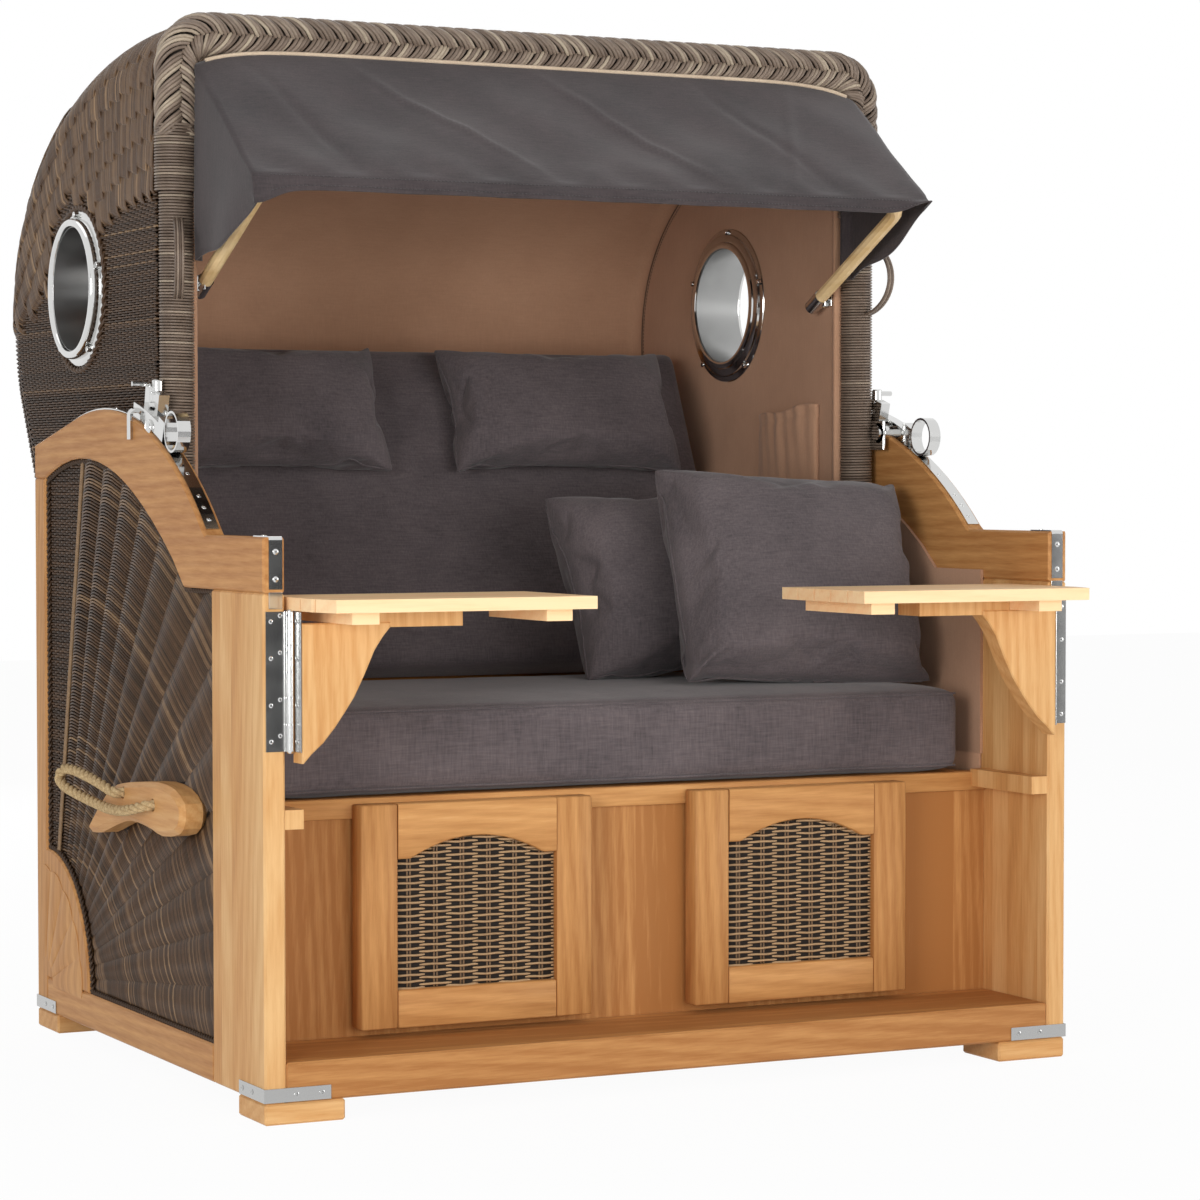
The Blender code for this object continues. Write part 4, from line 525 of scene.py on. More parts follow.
def cane_finish():
    """Peeled cane with faint streaks; its pale colour is lifted further by painted light, against the shade
    under the awning.
    """
    stick = Finish("pale_cane_painted_light", "cane", Roughness=0.42)
    grain = stick.noise(stick.mapped((60, 6, 60)), 1.0)
    stick.wire("Base Color", stick.ramp(grain, [(0.3, linear(0.86, 0.72, 0.50)),
                                                (0.7, linear(0.96, 0.85, 0.66))]))
    stick.bump(grain, 0.1, 0.0005)
    return stick.material


RATTAN = rattan("wicker_strands")
# The core under the weaves: its tint is lowered by 0.55 to near black, painted shade that shows in the gaps
# between the strands.
CORE = rattan("wicker_core_painted_shade", dark=0.55, rough=0.7)
PLAITED = rattan("plaited_strands", rough=0.34, shades=GREY_STRAND)
CHARCOAL = cloth("charcoal_cloth", "outdoor_cloth", linear(0.415, 0.375, 0.38),
                 linear(0.262, 0.236, 0.246), 400, 0.45, 0.62)
TAUPE = cloth("taupe_canvas", "lining_cloth", linear(0.745, 0.58, 0.465),
              linear(0.68, 0.52, 0.41), 420, 0.3)
PIPING = cloth("pale_piping", "lining_cloth", linear(0.86, 0.78, 0.68),
               linear(0.74, 0.65, 0.55), 500, 0.3)
THREAD = cloth("sewing_thread", "outdoor_cloth", linear(0.30, 0.28, 0.285),
               linear(0.24, 0.22, 0.225), 900, 0.3)
TAUPE_THREAD = cloth("taupe_thread", "lining_cloth", linear(0.44, 0.34, 0.27),
                     linear(0.38, 0.29, 0.22), 900, 0.3)
STEEL = steel("polished_stainless")
BRUSHED = steel("brushed_stainless", rough=0.30, tone=0.36)
# A darker copy of the polished steel for the corner brackets and the table's hinge leaves: its lower tone is
# painted shade, standing in for dark reflections; its higher roughness is a cloudier polish.
SHADED_STEEL = steel("cloudy_stainless_painted_shade", rough=0.18, tone=0.46)
# A darker copy of the charcoal cloth for the awning: the darker colour is painted shade on its upper face.
SHADED_AWNING_CLOTH = cloth("awning_cloth", "outdoor_cloth", linear(0.300, 0.262, 0.266),
                     linear(0.180, 0.158, 0.164), 400, 0.45, 0.6)
ROPE = cord_finish()
CANE = cane_finish()


# Floor, light and camera

def seen_plainly(tree):
    """1 for camera, glossy and transmission rays, 0 for all others."""
    path = tree.nodes.new("ShaderNodeLightPath")
    seen = path.outputs["Is Camera Ray"]
    for other in ("Is Glossy Ray", "Is Transmission Ray"):
        most = tree.nodes.new("ShaderNodeMath")
        most.operation = "MAXIMUM"
        tree.links.new(seen, most.inputs[0])
        tree.links.new(path.outputs[other], most.inputs[1])
        seen = most.outputs[0]
    return seen


def mixed_surface(tree, share, first, second, output):
    """Two shaders mixed by a share, as the surface of a material or the world."""
    mixer = tree.nodes.new("ShaderNodeMixShader")
    for k, source in enumerate((share, first.outputs[0], second.outputs[0])):
        tree.links.new(source, mixer.inputs[k])
    tree.links.new(mixer.outputs[0], output.inputs["Surface"])


def studio():
    """The world: soft light on the object, plain white where it is seen."""
    world = bpy.data.worlds.new("studio")
    bpy.context.scene.world = world
    world.use_nodes = True
    tree = world.node_tree
    tree.nodes.clear()
    lights = []
    for colour, strength in (((1, 0.99, 0.98, 1), 0.42), ((1, 1, 1, 1), 1.0)):
        light = tree.nodes.new("ShaderNodeBackground")
        light.inputs["Color"].default_value = colour
        light.inputs["Strength"].default_value = strength
        lights.append(light)
    mixed_surface(tree, seen_plainly(tree), *lights, tree.nodes.new("ShaderNodeOutputWorld"))


def flat_panel(name, corners, finish):
    """A four-cornered panel of the studio with a plain material of its own."""
    mesh = bpy.data.meshes.new(name)
    mesh.from_pydata(corners, [], [(0, 1, 2, 3)])
    material = bpy.data.materials.new(finish)
    material.use_nodes = True
    mesh.materials.append(material)
    panel = bpy.data.objects.new(name, mesh)
    bpy.context.scene.collection.objects.link(panel)
    return panel, material.node_tree


def floor():
    """The floor: matt white that takes the shadow, lifted to the background's white for the camera."""
    size, lift = 12.0, 0.955
    corners = [(-size, -size, 0), (size, -size, 0), (size, size, 0), (-size, size, 0)]
    _, tree = flat_panel("floor", corners, "pale_floor")
    shader = tree.nodes["Principled BSDF"]
    shader.inputs["Base Color"].default_value = (0.93, 0.93, 0.93, 1)
    shader.inputs["Roughness"].default_value = 0.9
    share = tree.nodes.new("ShaderNodeMath")
    share.operation = "MULTIPLY"
    share.inputs[1].default_value = lift
    tree.links.new(seen_plainly(tree), share.inputs[0])
    mixed_surface(tree, share.outputs[0], shader, tree.nodes.new("ShaderNodeEmission"),
                  tree.nodes["Material Output"])


def dark_board(name, low, high):
    """A dark upright board that only polished metal sees, so that it shows black beside white."""
    corners = [low, (*high[:2], low[2]), high, (*low[:2], high[2])]
    board, tree = flat_panel(name, corners, name)
    tree.nodes["Principled BSDF"].inputs["Base Color"].default_value = (0.02, 0.02, 0.02, 1)
    board.visible_camera = board.visible_diffuse = False
    board.visible_shadow = board.visible_transmission = False


def lamp(name, place, target, size, power, shines=True):
    """An oblong area lamp aimed at a target; metal shows it only if it shines."""
    light = bpy.data.lights.new(name, "AREA")
    light.shape = "RECTANGLE"
    light.size, light.size_y = size
    light.energy = power
    item = bpy.data.objects.new(name, light)
    bpy.context.scene.collection.objects.link(item)
    way = np.array(target, float) - np.array(place, float)
    tip = math.acos(-way[2] / np.linalg.norm(way))
    item.location = place
    item.rotation_euler = (tip, 0, math.atan2(way[1], way[0]) - PI / 2)
    item.visible_glossy = shines


def camera():
    """The photograph's view: from the front, 27 degrees round to the left, just above level."""
    lens = bpy.data.cameras.new("photo_camera")
    lens.sensor_width = 36
    lens.lens = 106.7
    lens.shift_x = -0.0432
    lens.shift_y = 0.0147
    item = bpy.data.objects.new("photo_camera", lens)
    item.location = (-2.414, -4.594 - SETBACK, 0.892)
    item.rotation_euler = (math.radians(90 - 2.195), 0, math.radians(-27.14))
    bpy.context.scene.collection.objects.link(item)
    bpy.context.scene.camera = item


studio()
floor()
for board_name, low_corner, high_corner in (("dark_board_front", (0.35, -3.6, 0.1), (2.7, -3.6, 1.25)),
                                            ("dark_board_left", (-3.6, -1.6, 0.5), (-3.6, 0.2, 1.05)),
                                            ("dark_board_high", (-3.2, -2.6, 1.9), (-3.2, 1.0, 2.6))):
    dark_board(board_name, low_corner, high_corner)
lamp("key", (-4.2, -3.6, 1.35), (0, 0, 0.7), (1.8, 1.8), 100)
lamp("front", (0.2, -5.4, 0.9), (0, 0, 0.9), (3.2, 1.4), 88, shines=False)
lamp("right", (3.8, -2.8, 1.2), (0, 0, 0.7), (1.4, 1.8), 34)
lamp("top", (0.2, 1.2, 3.8), (0, 0, 0.8), (3.0, 2.4), 18)
lamp("back", (1.0, 4.6, 1.8), (0, 0, 0.7), (2.4, 1.6), 45)
camera()
bpy.context.scene.view_settings.view_transform = "Standard"


# Ropes

# The route in rope radii out from the block's face, and in shares of the way from hole to hole
ROPE_ROUTE = [(-3, 0, 0), (-1.2, 0, 0), (0.4, 0, 0), (1.7, 0.08, -0.3), (2.4, 0.30, -1.1), (2.5, 0.66, -1.8),
              (2.5, 1.10, -1.9), (2.8, 1.55, -1.3), (3.5, 2.02, -0.3), (4, 2.37, 0.8), (4, 2.53, 2.3),
              (3.5, 2.43, 3.8), (3.1, 2.14, 3.9), (2.7, 1.72, 3.2), (2.3, 1.36, 2.3), (1.6, 1.08, 1.2),
              (0.4, 1, 1), (-1.2, 1, 1), (-3, 1, 1)]
ROPE_RADIUS = 0.008
ROPE_TURN = 0.048
STRAND_OFFSET, STRAND_RADIUS = 0.0042, 0.0041


def make_rope(side_name, side):
    """Three strands twisted round the rope's middle line, a full turn every 48 mm."""
    first = np.array([HANDLE_Y + HANDLE_LENGTH * 0.284, HANDLE_Z + HANDLE_HEIGHT * 0.66])
    second = np.array([HANDLE_Y + HANDLE_LENGTH * 0.605, HANDLE_Z + HANDLE_HEIGHT * 0.74])
    span = second - first
    outer = SIDE_FACE + 0.0003 + HANDLE_PROUD
    out, back, up = np.array(ROPE_ROUTE, float).T
    route = np.stack([side * (outer + ROPE_RADIUS * out), first[0] + span[0] * back,
                      first[1] + span[1] * up], 1)
    line = smooth_path(route, 16)
    _, length = along(line, [0])
    steps = 260
    even, _ = along(line, np.linspace(0, length, steps))
    tangent = np.gradient(even, axis=0)
    tangent /= np.linalg.norm(tangent, axis=1)[:, None]
    normal = np.zeros_like(even)
    normal[0] = np.cross(tangent[0], [0, 0, 1.0])
    for k in range(1, steps):
        normal[k] = normal[k - 1] - tangent[k] * (normal[k - 1] @ tangent[k])
        normal[k] /= np.linalg.norm(normal[k])
    other = np.cross(tangent, normal)
    far = np.linspace(0, length, steps)
    strands, ways = [], []
    for k in range(3):
        turn = far / ROPE_TURN * 2 * PI + k * 2 * PI / 3
        way = np.cos(turn)[:, None] * normal + np.sin(turn)[:, None] * other
        strands.append(even + way * STRAND_OFFSET)
        ways.append(way)
    points, faces = sweep(np.array(strands), np.array(ways), disc(STRAND_RADIUS, 10))
    piece = make(f"rope_loop_{side_name}", points, faces, "lower_box", ROPE)
    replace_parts(piece, f"rope_{side_name}")
    path = on_floor(even)


for rope_side, rope_sign in SIDES:
    make_rope(rope_side, rope_sign)


# Teak members, each with its grain along its own length

def repaint(node, material):
    """Give a CAD node another material."""
    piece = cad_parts[node]
    piece.data.materials.clear()
    piece.data.materials.append(material)


# Each member's grain direction and, where it is glued up, the strips' direction and width
PAIRED_TIMBER = (("front_post", "z", ("y", 0.043)), ("rear_stile", "z", None), ("bottom_rail", "y", None),
                 ("arm_rail", "y", None), ("foot_front", "x", None), ("foot_rear", "x", None),
                 ("seat_side", "y", ("z", 0.09)), ("handle_block", "y", None),
                 ("table_top", "x", ("y", 0.0494)), ("table_bracket", "z", None),
                 ("footrest_drawer", "y", None), ("hood_arm", "z", ("y", 0.08)))
SINGLE_TIMBER = (("front_sill", "x", ("y", 0.062)), ("front_panel", "z", ("x", 0.094)),
                 ("rear_panel", "x", ("z", 0.085)), ("seat_board", "x", ("y", 0.09)),
                 ("backrest", "x", ("z", 0.09)))
# How much lighter or darker than the posts a member is. The table top's lighter tone is painted light from
# above, the backrest's darker tone is painted shade where it shows round the back cushion, and the front
# panel's darker tone is partly darker wood and partly painted shade in its recess.
TONES = {"rear_stile": 0.17, "arm_rail": 0.19, "table_top": -0.12, "table_bracket": -0.06,
         "seat_side": 0.2, "bottom_rail": 0.17, "front_sill": 0.25, "front_panel": 0.35,
         "backrest": 0.5, "seat_board": 0.3}


def paint_timber():
    """Teak of its own for every wooden node, each with another seed and a slightly other tone."""
    seed = 1
    for stem, axis, strips in PAIRED_TIMBER:
        # The table tops take the paler teak, painted light from above.
        shades = TOP_LIT_TEAK if stem == "table_top" else GOLDEN
        for side, _ in SIDES:
            seed += 1
            tone = TONES.get(stem, 0.0) + 0.02 * math.sin(seed * 2.4)
            wood = teak(f"teak_{stem}_{side}", axis, seed, tone, strips, shades=shades)
            repaint(f"{stem}_{side}", wood)
    for node, axis, strips in SINGLE_TIMBER:
        seed += 1
        repaint(node, teak(f"teak_{node}", axis, seed, TONES.get(node, 0.0), strips))


paint_timber()
# Here and below, the wicker backing behind the weaves and the hood's shell and rim take the core finish: near
# black, painted shade behind the strands.
for material, stems in ((STEEL, ("guide_strip", "table_hinge", "clamp", "loop_handle", "porthole")),
                        (TAUPE, ("side_lining",)), (ROPE, ("rope",)),
                        (CORE, ("footrest_wicker", "side_wicker")), (CHARCOAL, ("neck_pillow",))):
    for stem in stems:
        for side, _ in SIDES:
            repaint(f"{stem}_{side}", material)
for material, nodes in ((CANE, ("awning_bow",)), (CORE, ("hood_rim", "hood_shell")),
                        (TAUPE, ("hood_lining",)),
                        (CHARCOAL, ("awning", "seat_cushion", "back_cushion", "square_pillow_front",
                                    "square_pillow_rear"))):
    for node in nodes:
        repaint(node, material)


# The hood's shape

def hood_profile(places=None, count=200):
    """Points, inward normals and distances along the hood's side view, and its whole length.

    From the front: level to the shoulder, a quarter of a superellipse down to the furthest
    back, a short elliptical tuck under it, and a straight slope to the foot.
    """
    turns = np.linspace(PI / 2, 0, 400)
    power = 2 / HOOD_ROUNDNESS
    crown = np.stack([HOOD_SHOULDER_Y + (HOOD_BACK_Y - HOOD_SHOULDER_Y) * np.abs(np.cos(turns)) ** power,
                      HOOD_BACK_Z + (HOOD_TOP - HOOD_BACK_Z) * np.sin(turns) ** power], 1)
    turns = np.radians(np.linspace(0, TUCK_ANGLE, 40)[1:])
    tuck = np.stack([HOOD_BACK_Y - TUCK_DEPTH * (1 - np.cos(turns)),
                     HOOD_BACK_Z - TUCK_HEIGHT * np.sin(turns)], 1)
    tail = np.array([[tuck[-1, 0] - (tuck[-1, 1] - TAIL_Z) * TAIL_SLOPE, TAIL_Z]])
    line = np.vstack([[(HOOD_FRONT, HOOD_TOP)], crown, tuck, tail])
    far = np.concatenate([[0], np.cumsum(np.linalg.norm(np.diff(line, axis=0), axis=1))])
    if places is None:
        places = np.linspace(0, far[-1], count)
    even = np.stack([np.interp(places, far, line[:, k]) for k in (0, 1)], -1)
    dense = np.linspace(0, far[-1], 600)
    smooth = np.stack([np.interp(dense, far, line[:, k]) for k in (0, 1)], -1)
    steps = np.gradient(smooth, axis=0)
    steps /= np.linalg.norm(steps, axis=1)[:, None]
    slope = np.stack([np.interp(places, dense, steps[:, k]) for k in (0, 1)], -1)
    slope /= np.linalg.norm(slope, axis=1)[:, None]
    inward = np.stack([slope[:, 1], -slope[:, 0]], -1)
    return even, inward, places, far[-1]


HOOD_LENGTH = hood_profile(np.array([0.0]))[3]


def hood_rows(places, inset, side_steps, corner_steps, top_steps, sides=True, front=HOOD_EDGE):
    """Rows over the hood at distances along its side view: side, corner, across, corner, side.

    In a corner the row follows a quarter circle; on a side it runs level to the front edge, or
    to the sloping lower edge. Gives (rows, steps, 3) points and outward normals.
    """
    line, inward, _, _ = hood_profile(places)
    radius = HOOD_CORNER - inset
    half = HOOD_HALF - inset
    turn = np.linspace(0, PI / 2, corner_steps)
    rows = len(line)

    def at(x, depths):
        """Every row's points at places x and depths below the side view's line."""
        spot = line[:, None] + inward[:, None] * depths[None, :, None]
        return np.concatenate([np.broadcast_to(x[None, :, None], spot.shape[:2] + (1,)), spot], -1)

    across = np.linspace(-(half - radius), half - radius, top_steps)
    top = at(across, np.full(top_steps, inset))
    corner_x = half - radius + radius * np.sin(turn)
    corner_in = inset + radius * (1 - np.cos(turn))
    right = at(corner_x, corner_in)[:, 1:]
    left = at(-corner_x, corner_in)[:, 1:][:, ::-1]
    lean = np.sin(turn[1:])
    up = np.cos(turn[1:])
    out_right = np.concatenate([np.broadcast_to(lean[None, :, None], (rows, corner_steps - 1, 1)),
                                -inward[:, None] * up[None, :, None]], -1)
    out_left = (out_right * np.array([-1, 1, 1]))[:, ::-1]
    out_top = np.concatenate([np.zeros((rows, top_steps, 1)),
                              np.repeat(-inward[:, None], top_steps, 1)], -1)
    parts, normals = [left, top, right], [out_left, out_top, out_right]
    if sides:
        end = right[:, -1]
        y, z = end[:, 1], end[:, 2]
        tail = hood_profile(np.array([HOOD_LENGTH]))[0][0]
        slope = np.clip((z - SIDE_FOOT_Z) / (tail[1] - SIDE_FOOT_Z), 0, 1)
        ahead = np.minimum(front + (tail[0] - front) * slope, y)
        share = np.linspace(0, 1, side_steps + 1)[1:]
        side_y = y[:, None] + (ahead - y)[:, None] * share[None]
        wide = np.full_like(side_y, half)
        flat = np.stack([wide, side_y, np.repeat(z[:, None], side_steps, 1)], -1)
        way = np.zeros_like(flat)
        way[..., 0] = 1
        parts = [(flat * np.array([-1, 1, 1]))[:, ::-1], *parts, flat]
        normals = [-way, *normals, way]
    return np.concatenate(parts, 1), np.concatenate(normals, 1)


def hood_skin(name, inset, depth, finish, front=HOOD_EDGE):
    """The hood as a smooth closed wall from one inset to another, with round portholes.

    The outer and the inner surface are the same grid worked out at two insets, and each open
    edge of the outer one is bridged to its twin.
    """
    places = np.linspace(0, HOOD_LENGTH, 150)
    layers = [hood_rows(places, step, 70, 9, 20, front=front)[0] for step in (inset, inset + depth)]
    faces = grid(*layers[0].shape[:2])
    flat = layers[0].reshape(-1, 3)
    count = len(flat)
    middle = flat[faces].mean(1)
    away = np.hypot(middle[:, 1] - PORT_Y, middle[:, 2] - PORT_Z)
    faces = faces[~((away < PORT_CUT) & (np.abs(middle[:, 0]) > WALL_X))]
    faces, at_edge = bridged(faces, count)
    points = np.concatenate([flat, layers[1].reshape(-1, 3)])
    # With the core finish the middle's tint of 0.3 gives near black, painted shade in the gaps of the weave
    # over it; the cut edges at 0.95 come out brown.
    tint = np.full(len(points), 0.3)
    tint[at_edge] = 0.95
    skin = make(name, points, faces, "hood", finish, tint=tint, sharp=50)
    weld_mesh(skin.data)
    return skin


def tints(count, seed, light=0.22):
    """A tint for each strand: mostly dark and mid browns, with a pale one here and there."""
    draw = np.random.default_rng(seed)
    tint = 0.22 + 0.33 * draw.random(count)
    pale = draw.random(count) < light
    tint[pale] = 0.66 + 0.3 * draw.random(pale.sum())
    return tint


def woven_rows(name, places, seed, sides, pitch, flanks=()):
    """Strands that run round the hood, over one stake and under the next, neighbours in turn.

    Off the surface, a strand is the rise times sin(pi s / stake), with s along it, and every
    other strand has the opposite sign. With flanks, (name, side) pairs, the faces beside the
    side view's middle part go to pieces of their own.
    """
    points, normals = hood_rows(places, 0.0, 46, 7, 64, sides)
    rows = len(points)
    gaps = np.linalg.norm(np.diff(points, axis=1), axis=2)
    far = np.concatenate([np.zeros((rows, 1)), np.cumsum(gaps, 1)], 1)
    middle = far[:, -1:] / 2
    steps = int(2 * middle.max() / STAKE) + 1
    even = np.arange(-steps, steps + 1) * STAKE / 2
    count = len(even)
    paths = np.empty((rows, count, 3))
    ways = np.empty((rows, count, 3))
    spans = far - middle
    for k in range(rows):
        for axis in range(3):
            paths[k, :, axis] = np.interp(even, spans[k], points[k, :, axis])
            ways[k, :, axis] = np.interp(even, spans[k], normals[k, :, axis])
    ways /= np.linalg.norm(ways, axis=-1, keepdims=True)
    parity = np.where(np.arange(rows) % 2, -1.0, 1.0)[:, None]
    lift = RISE * np.sin(PI * even[None] / STAKE) * parity
    paths = paths + ways * lift[..., None]
    half = pitch / 2
    section = np.array([(-half, -half * 0.3), (0, half * 0.75), (half, -half * 0.3)])[::-1]
    shape, faces = sweep(paths, ways, section)
    tint = np.repeat(0.9 * tints(rows, seed, 0.07), count * 3)
    quads = faces[0]
    centre = shape[quads].mean(1)
    real = np.abs(even)[None] <= np.abs(spans[:, :1]) + STAKE / 2
    keep = np.repeat((real[:, :-1] & real[:, 1:]).ravel(), 3)
    away = np.hypot(centre[:, 1] - PORT_Y, centre[:, 2] - PORT_Z)
    keep &= ~((away < WEAVE_CUT) & (np.abs(centre[:, 0]) > WALL_X))
    shares = [(name, keep)]
    if flanks:
        beside = np.abs(centre[:, 0]) > FLANK_X
        shares = [(name, keep & ~beside & (centre[:, 2] < WEAVE_TOP))]
        shares += [(flank, keep & beside & (side * centre[:, 0] > 0)) for flank, side in flanks]
    for part, chosen in shares:
        drop_loose(make(part, shape, [quads[chosen]], "hood", RATTAN, tint=tint).data)


def place_at_height(height):
    """Distance along the hood's side view at which its back passes a height."""
    line, _, places, _ = hood_profile(count=900)
    return places[np.nonzero(line[:, 1] < height)[0][0]]


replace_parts(hood_skin("hood_base", 0.006, 0.049, CORE), "hood_shell")
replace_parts(hood_skin("hood_lining_cloth", 0.056, 0.004, TAUPE, front=0.550), "hood_lining")
woven_rows("hood_weave_crown", np.arange(0.01, place_at_height(WEAVE_TOP), 0.0052), 3, False, 0.0050)
woven_rows("hood_weave_back", np.arange(place_at_height(FLANK_TOP), HOOD_LENGTH - 0.004, 0.0048), 4, True,
           0.0046, flanks=(("hood_weave_flank_left", -1), ("hood_weave_flank_right", 1)))


# The plait and the wrapped tubes round the opening

def rim_path(steps=600):
    """Middle line of the tube round the opening, left foot to right foot, at even steps.

    Gives its points, their distances along it and its whole length.
    """
    turn = np.linspace(0, PI / 2, 12)
    r, x, top = RIM_CORNER, RIM_X, RIM_TOP
    left = np.stack([-x + r - r * np.cos(turn), top - r + r * np.sin(turn)], 1)
    right = (left * [-1, 1])[::-1]
    line = np.vstack([[(-x, SIDE_FOOT_Z)], left, right, [(x, SIDE_FOOT_Z)]])
    _, length = along(line, [0])
    even, _ = along(line, np.linspace(0, length, steps))
    path = np.stack([even[:, 0], np.full(steps, RIM_Y), even[:, 1]], 1)
    return path, np.linspace(0, length, steps), length


def ring_frame(path):
    """Two directions across a path in the plane of the opening: outwards in the plane, and back."""
    tangent = np.gradient(path, axis=0)
    tangent /= np.linalg.norm(tangent, axis=1)[:, None]
    back = np.broadcast_to([0.0, 1.0, 0.0], path.shape)
    return -np.cross(back, tangent), back


SLEEVE_FOOT, SLEEVE_TOP, SLEEVE_EXTRA = 1.33, 1.43, 0.0062
WRAP_PITCH = 0.0046


def rim_wraps():
    """Strands wound round the side tubes, ring after ring, and a thicker sleeve under the plait."""
    sides = 20
    turn = np.linspace(0, 2 * PI, sides, endpoint=False)
    rings, ways = [], []
    for _, side in SIDES:
        for z in np.arange(SIDE_FOOT_Z + 0.002, SLEEVE_TOP, WRAP_PITCH):
            radius = RIM_RADIUS - 0.0012 + (SLEEVE_EXTRA if z > SLEEVE_FOOT else 0)
            tilt = 0.0008 * np.sin(turn + side)
            rings.append(np.stack([side * RIM_X + radius * np.cos(turn), RIM_Y + radius * np.sin(turn),
                                   z + tilt], 1))
            ways.append(np.stack([np.cos(turn), np.sin(turn), 0 * turn], 1))
    half = WRAP_PITCH / 2
    section = np.array([(-half, -0.0012), (-half * 0.7, half * 0.7), (0, half * 1.25),
                        (half * 0.7, half * 0.7), (half, -0.0012)])
    points, faces = sweep(np.array(rings), np.array(ways), section, closed=True)
    tint = np.repeat(0.62 + 0.5 * (tints(len(rings), 11, 0.12) - 0.36), sides * len(section))
    return make("rim_wrapping", points, faces, "hood", PLAITED, tint=tint)


def plait():
    """Fishbone plait: bundles of strands that cross the tube from each edge to the middle by turns.

    A bundle starts behind one edge, sweeps round it nearly along the tube, crosses the front
    towards the middle and dives there under the bundles from the other edge. Its angle round
    the tube falls from 127 degrees to -22 with the share of its way to the power of 1.15,
    while it gains 74 mm along the tube.
    """
    path, far, length = rim_path()
    out, _ = ring_frame(path)
    start = SLEEVE_TOP - SIDE_FOOT_Z - 0.012
    end = length - start
    spacing, lead_in, strands, steps = 0.0290, 0.074, 4, 16
    bundles = int((end - start + 0.05) / spacing)
    share = np.linspace(0, 1, steps)
    draw = np.random.default_rng(21)
    lines, ways, tint = [], [], []
    for k in range(-2, bundles):
        for way in (-1, 1):
            first = start + (k + (0.5 if way > 0 else 0)) * spacing
            for strand in range(strands):
                angle = way * np.radians(127 - 149 * share**1.15)
                lead = first + lead_in * share**0.86 + (strand - 1.5) * 0.0063
                lead = np.clip(lead, start - 0.004, end + 0.004)
                dive = np.clip((share - 0.74) / 0.26, 0, 1) ** 1.2
                edge = (abs(strand - 1.5) / 1.5) ** 2
                bulge = 0.93 + 0.24 * np.sin(share * PI) ** 0.8 - 0.44 * dive - 0.075 * edge
                radius = (PLAIT_RADIUS - 0.0046) * bulge
                centre = np.stack([np.interp(lead, far, path[:, a]) for a in range(3)], 1)
                beside = np.stack([np.interp(lead, far, out[:, a]) for a in range(3)], 1)
                beside /= np.linalg.norm(beside, axis=1)[:, None]
                way_out = beside * np.sin(angle)[:, None] - np.array([0, 1.0, 0]) * np.cos(angle)[:, None]
                lines.append(centre + way_out * radius[:, None])
                ways.append(way_out)
                # The outer strands of each bundle are 0.10 darker: painted shade where the bundle rolls down
                # between its neighbours.
                tint.append(0.62 + 0.22 * draw.random() - 0.10 * edge
                            + (0.25 if draw.random() < 0.2 else 0))
    points, faces = sweep(np.array(lines), np.array(ways), disc(0.0029, 6))
    return make("rim_plait", points, faces, "hood", PLAITED, tint=np.repeat(tint, steps * 6))


def rim_core():
    """The tube under the wraps and, a little thicker, under the plait, painted near black: painted shade in
    the gaps between the wraps.
    """
    path, _, _ = rim_path(200)
    radius = RIM_RADIUS - 0.0035 + (PLAIT_RADIUS - RIM_RADIUS - 0.004) * (path[:, 2] > SLEEVE_TOP)
    out, _ = ring_frame(path)
    section = disc(1.0, 20)[None, None] * radius[None, :, None, None]
    points, faces = sweep(path[None], out[None], section)
    return make("rim_core", points, faces, "hood", CORE, tint=np.full(len(points), 0.1))


def grips():
    """Bent carrying grips on the side tubes, each of four strands side by side."""
    steps, low, high = 30, 1.165, 1.29
    turn = np.linspace(-PI / 2, PI / 2, steps)
    middle, half = (high + low) / 2, (high - low) / 2
    lines, ways = [], []
    for _, side in SIDES:
        bend = np.stack([side * (RIM_X + 0.022 * np.cos(turn)), RIM_Y - 0.075 * np.cos(turn) ** 0.9,
                         middle + half * np.sin(turn)], 1)
        centre = np.array([side * RIM_X, RIM_Y, middle])
        outward = (bend - centre) * [1, 1, 0.6]
        outward /= np.linalg.norm(outward, axis=1)[:, None]
        sideways = np.cross(np.gradient(bend, axis=0), outward)
        sideways /= np.linalg.norm(sideways, axis=1)[:, None]
        for k in range(4):
            lines.append(bend + sideways * (k - 1.5) * 0.0036)
            ways.append(outward)
    points, faces = sweep(np.array(lines), np.array(ways), disc(0.0021, 6))
    tint = np.repeat([0.5, 0.8, 0.45, 0.7] * 2, steps * 6)
    return make("rim_grips", points, faces, "hood", PLAITED, tint=tint)


rim_wraps()
plait()
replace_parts(rim_core(), "hood_rim")
grips()


# Shingled weave on the upper sides

FAN_Y, FAN_Z = 0.575, 0.60
SHINGLE_ROWS, SHINGLE_COLUMNS = 12, range(-2, 26)
SHINGLE_STRANDS, SHINGLE_STEPS = 9, 7
BORDER_FROM_PORT = 0.148


def below_profile(spots):
    """How far places lie inside the hood's side view, and the inward normals nearest to them."""
    line, inward, _, _ = hood_profile(count=500)
    gaps = spots[:, None] - line[None]
    near = np.argmin((gaps**2).sum(-1), 1)
    return (gaps[np.arange(len(spots)), near] * inward[near]).sum(-1), inward[near]


def side_surface(y, z):
    """How far out the hood's side is at a place in its side view, with the corner rounded off."""
    depth, inward = below_profile(np.stack([np.ravel(y), np.ravel(z)], 1))
    depth = np.clip(depth, 0, None)
    share = np.clip(1 - depth / HOOD_CORNER, 0, 1)
    upright = np.sqrt(np.clip(1 - share**2, 0, 1))
    x = HOOD_HALF - HOOD_CORNER + HOOD_CORNER * upright
    normal = np.stack([upright, -inward[:, 0] * share, -inward[:, 1] * share], 1)
    shape = np.shape(y)
    return x.reshape(shape), normal.reshape(shape + (3,)), depth.reshape(shape)


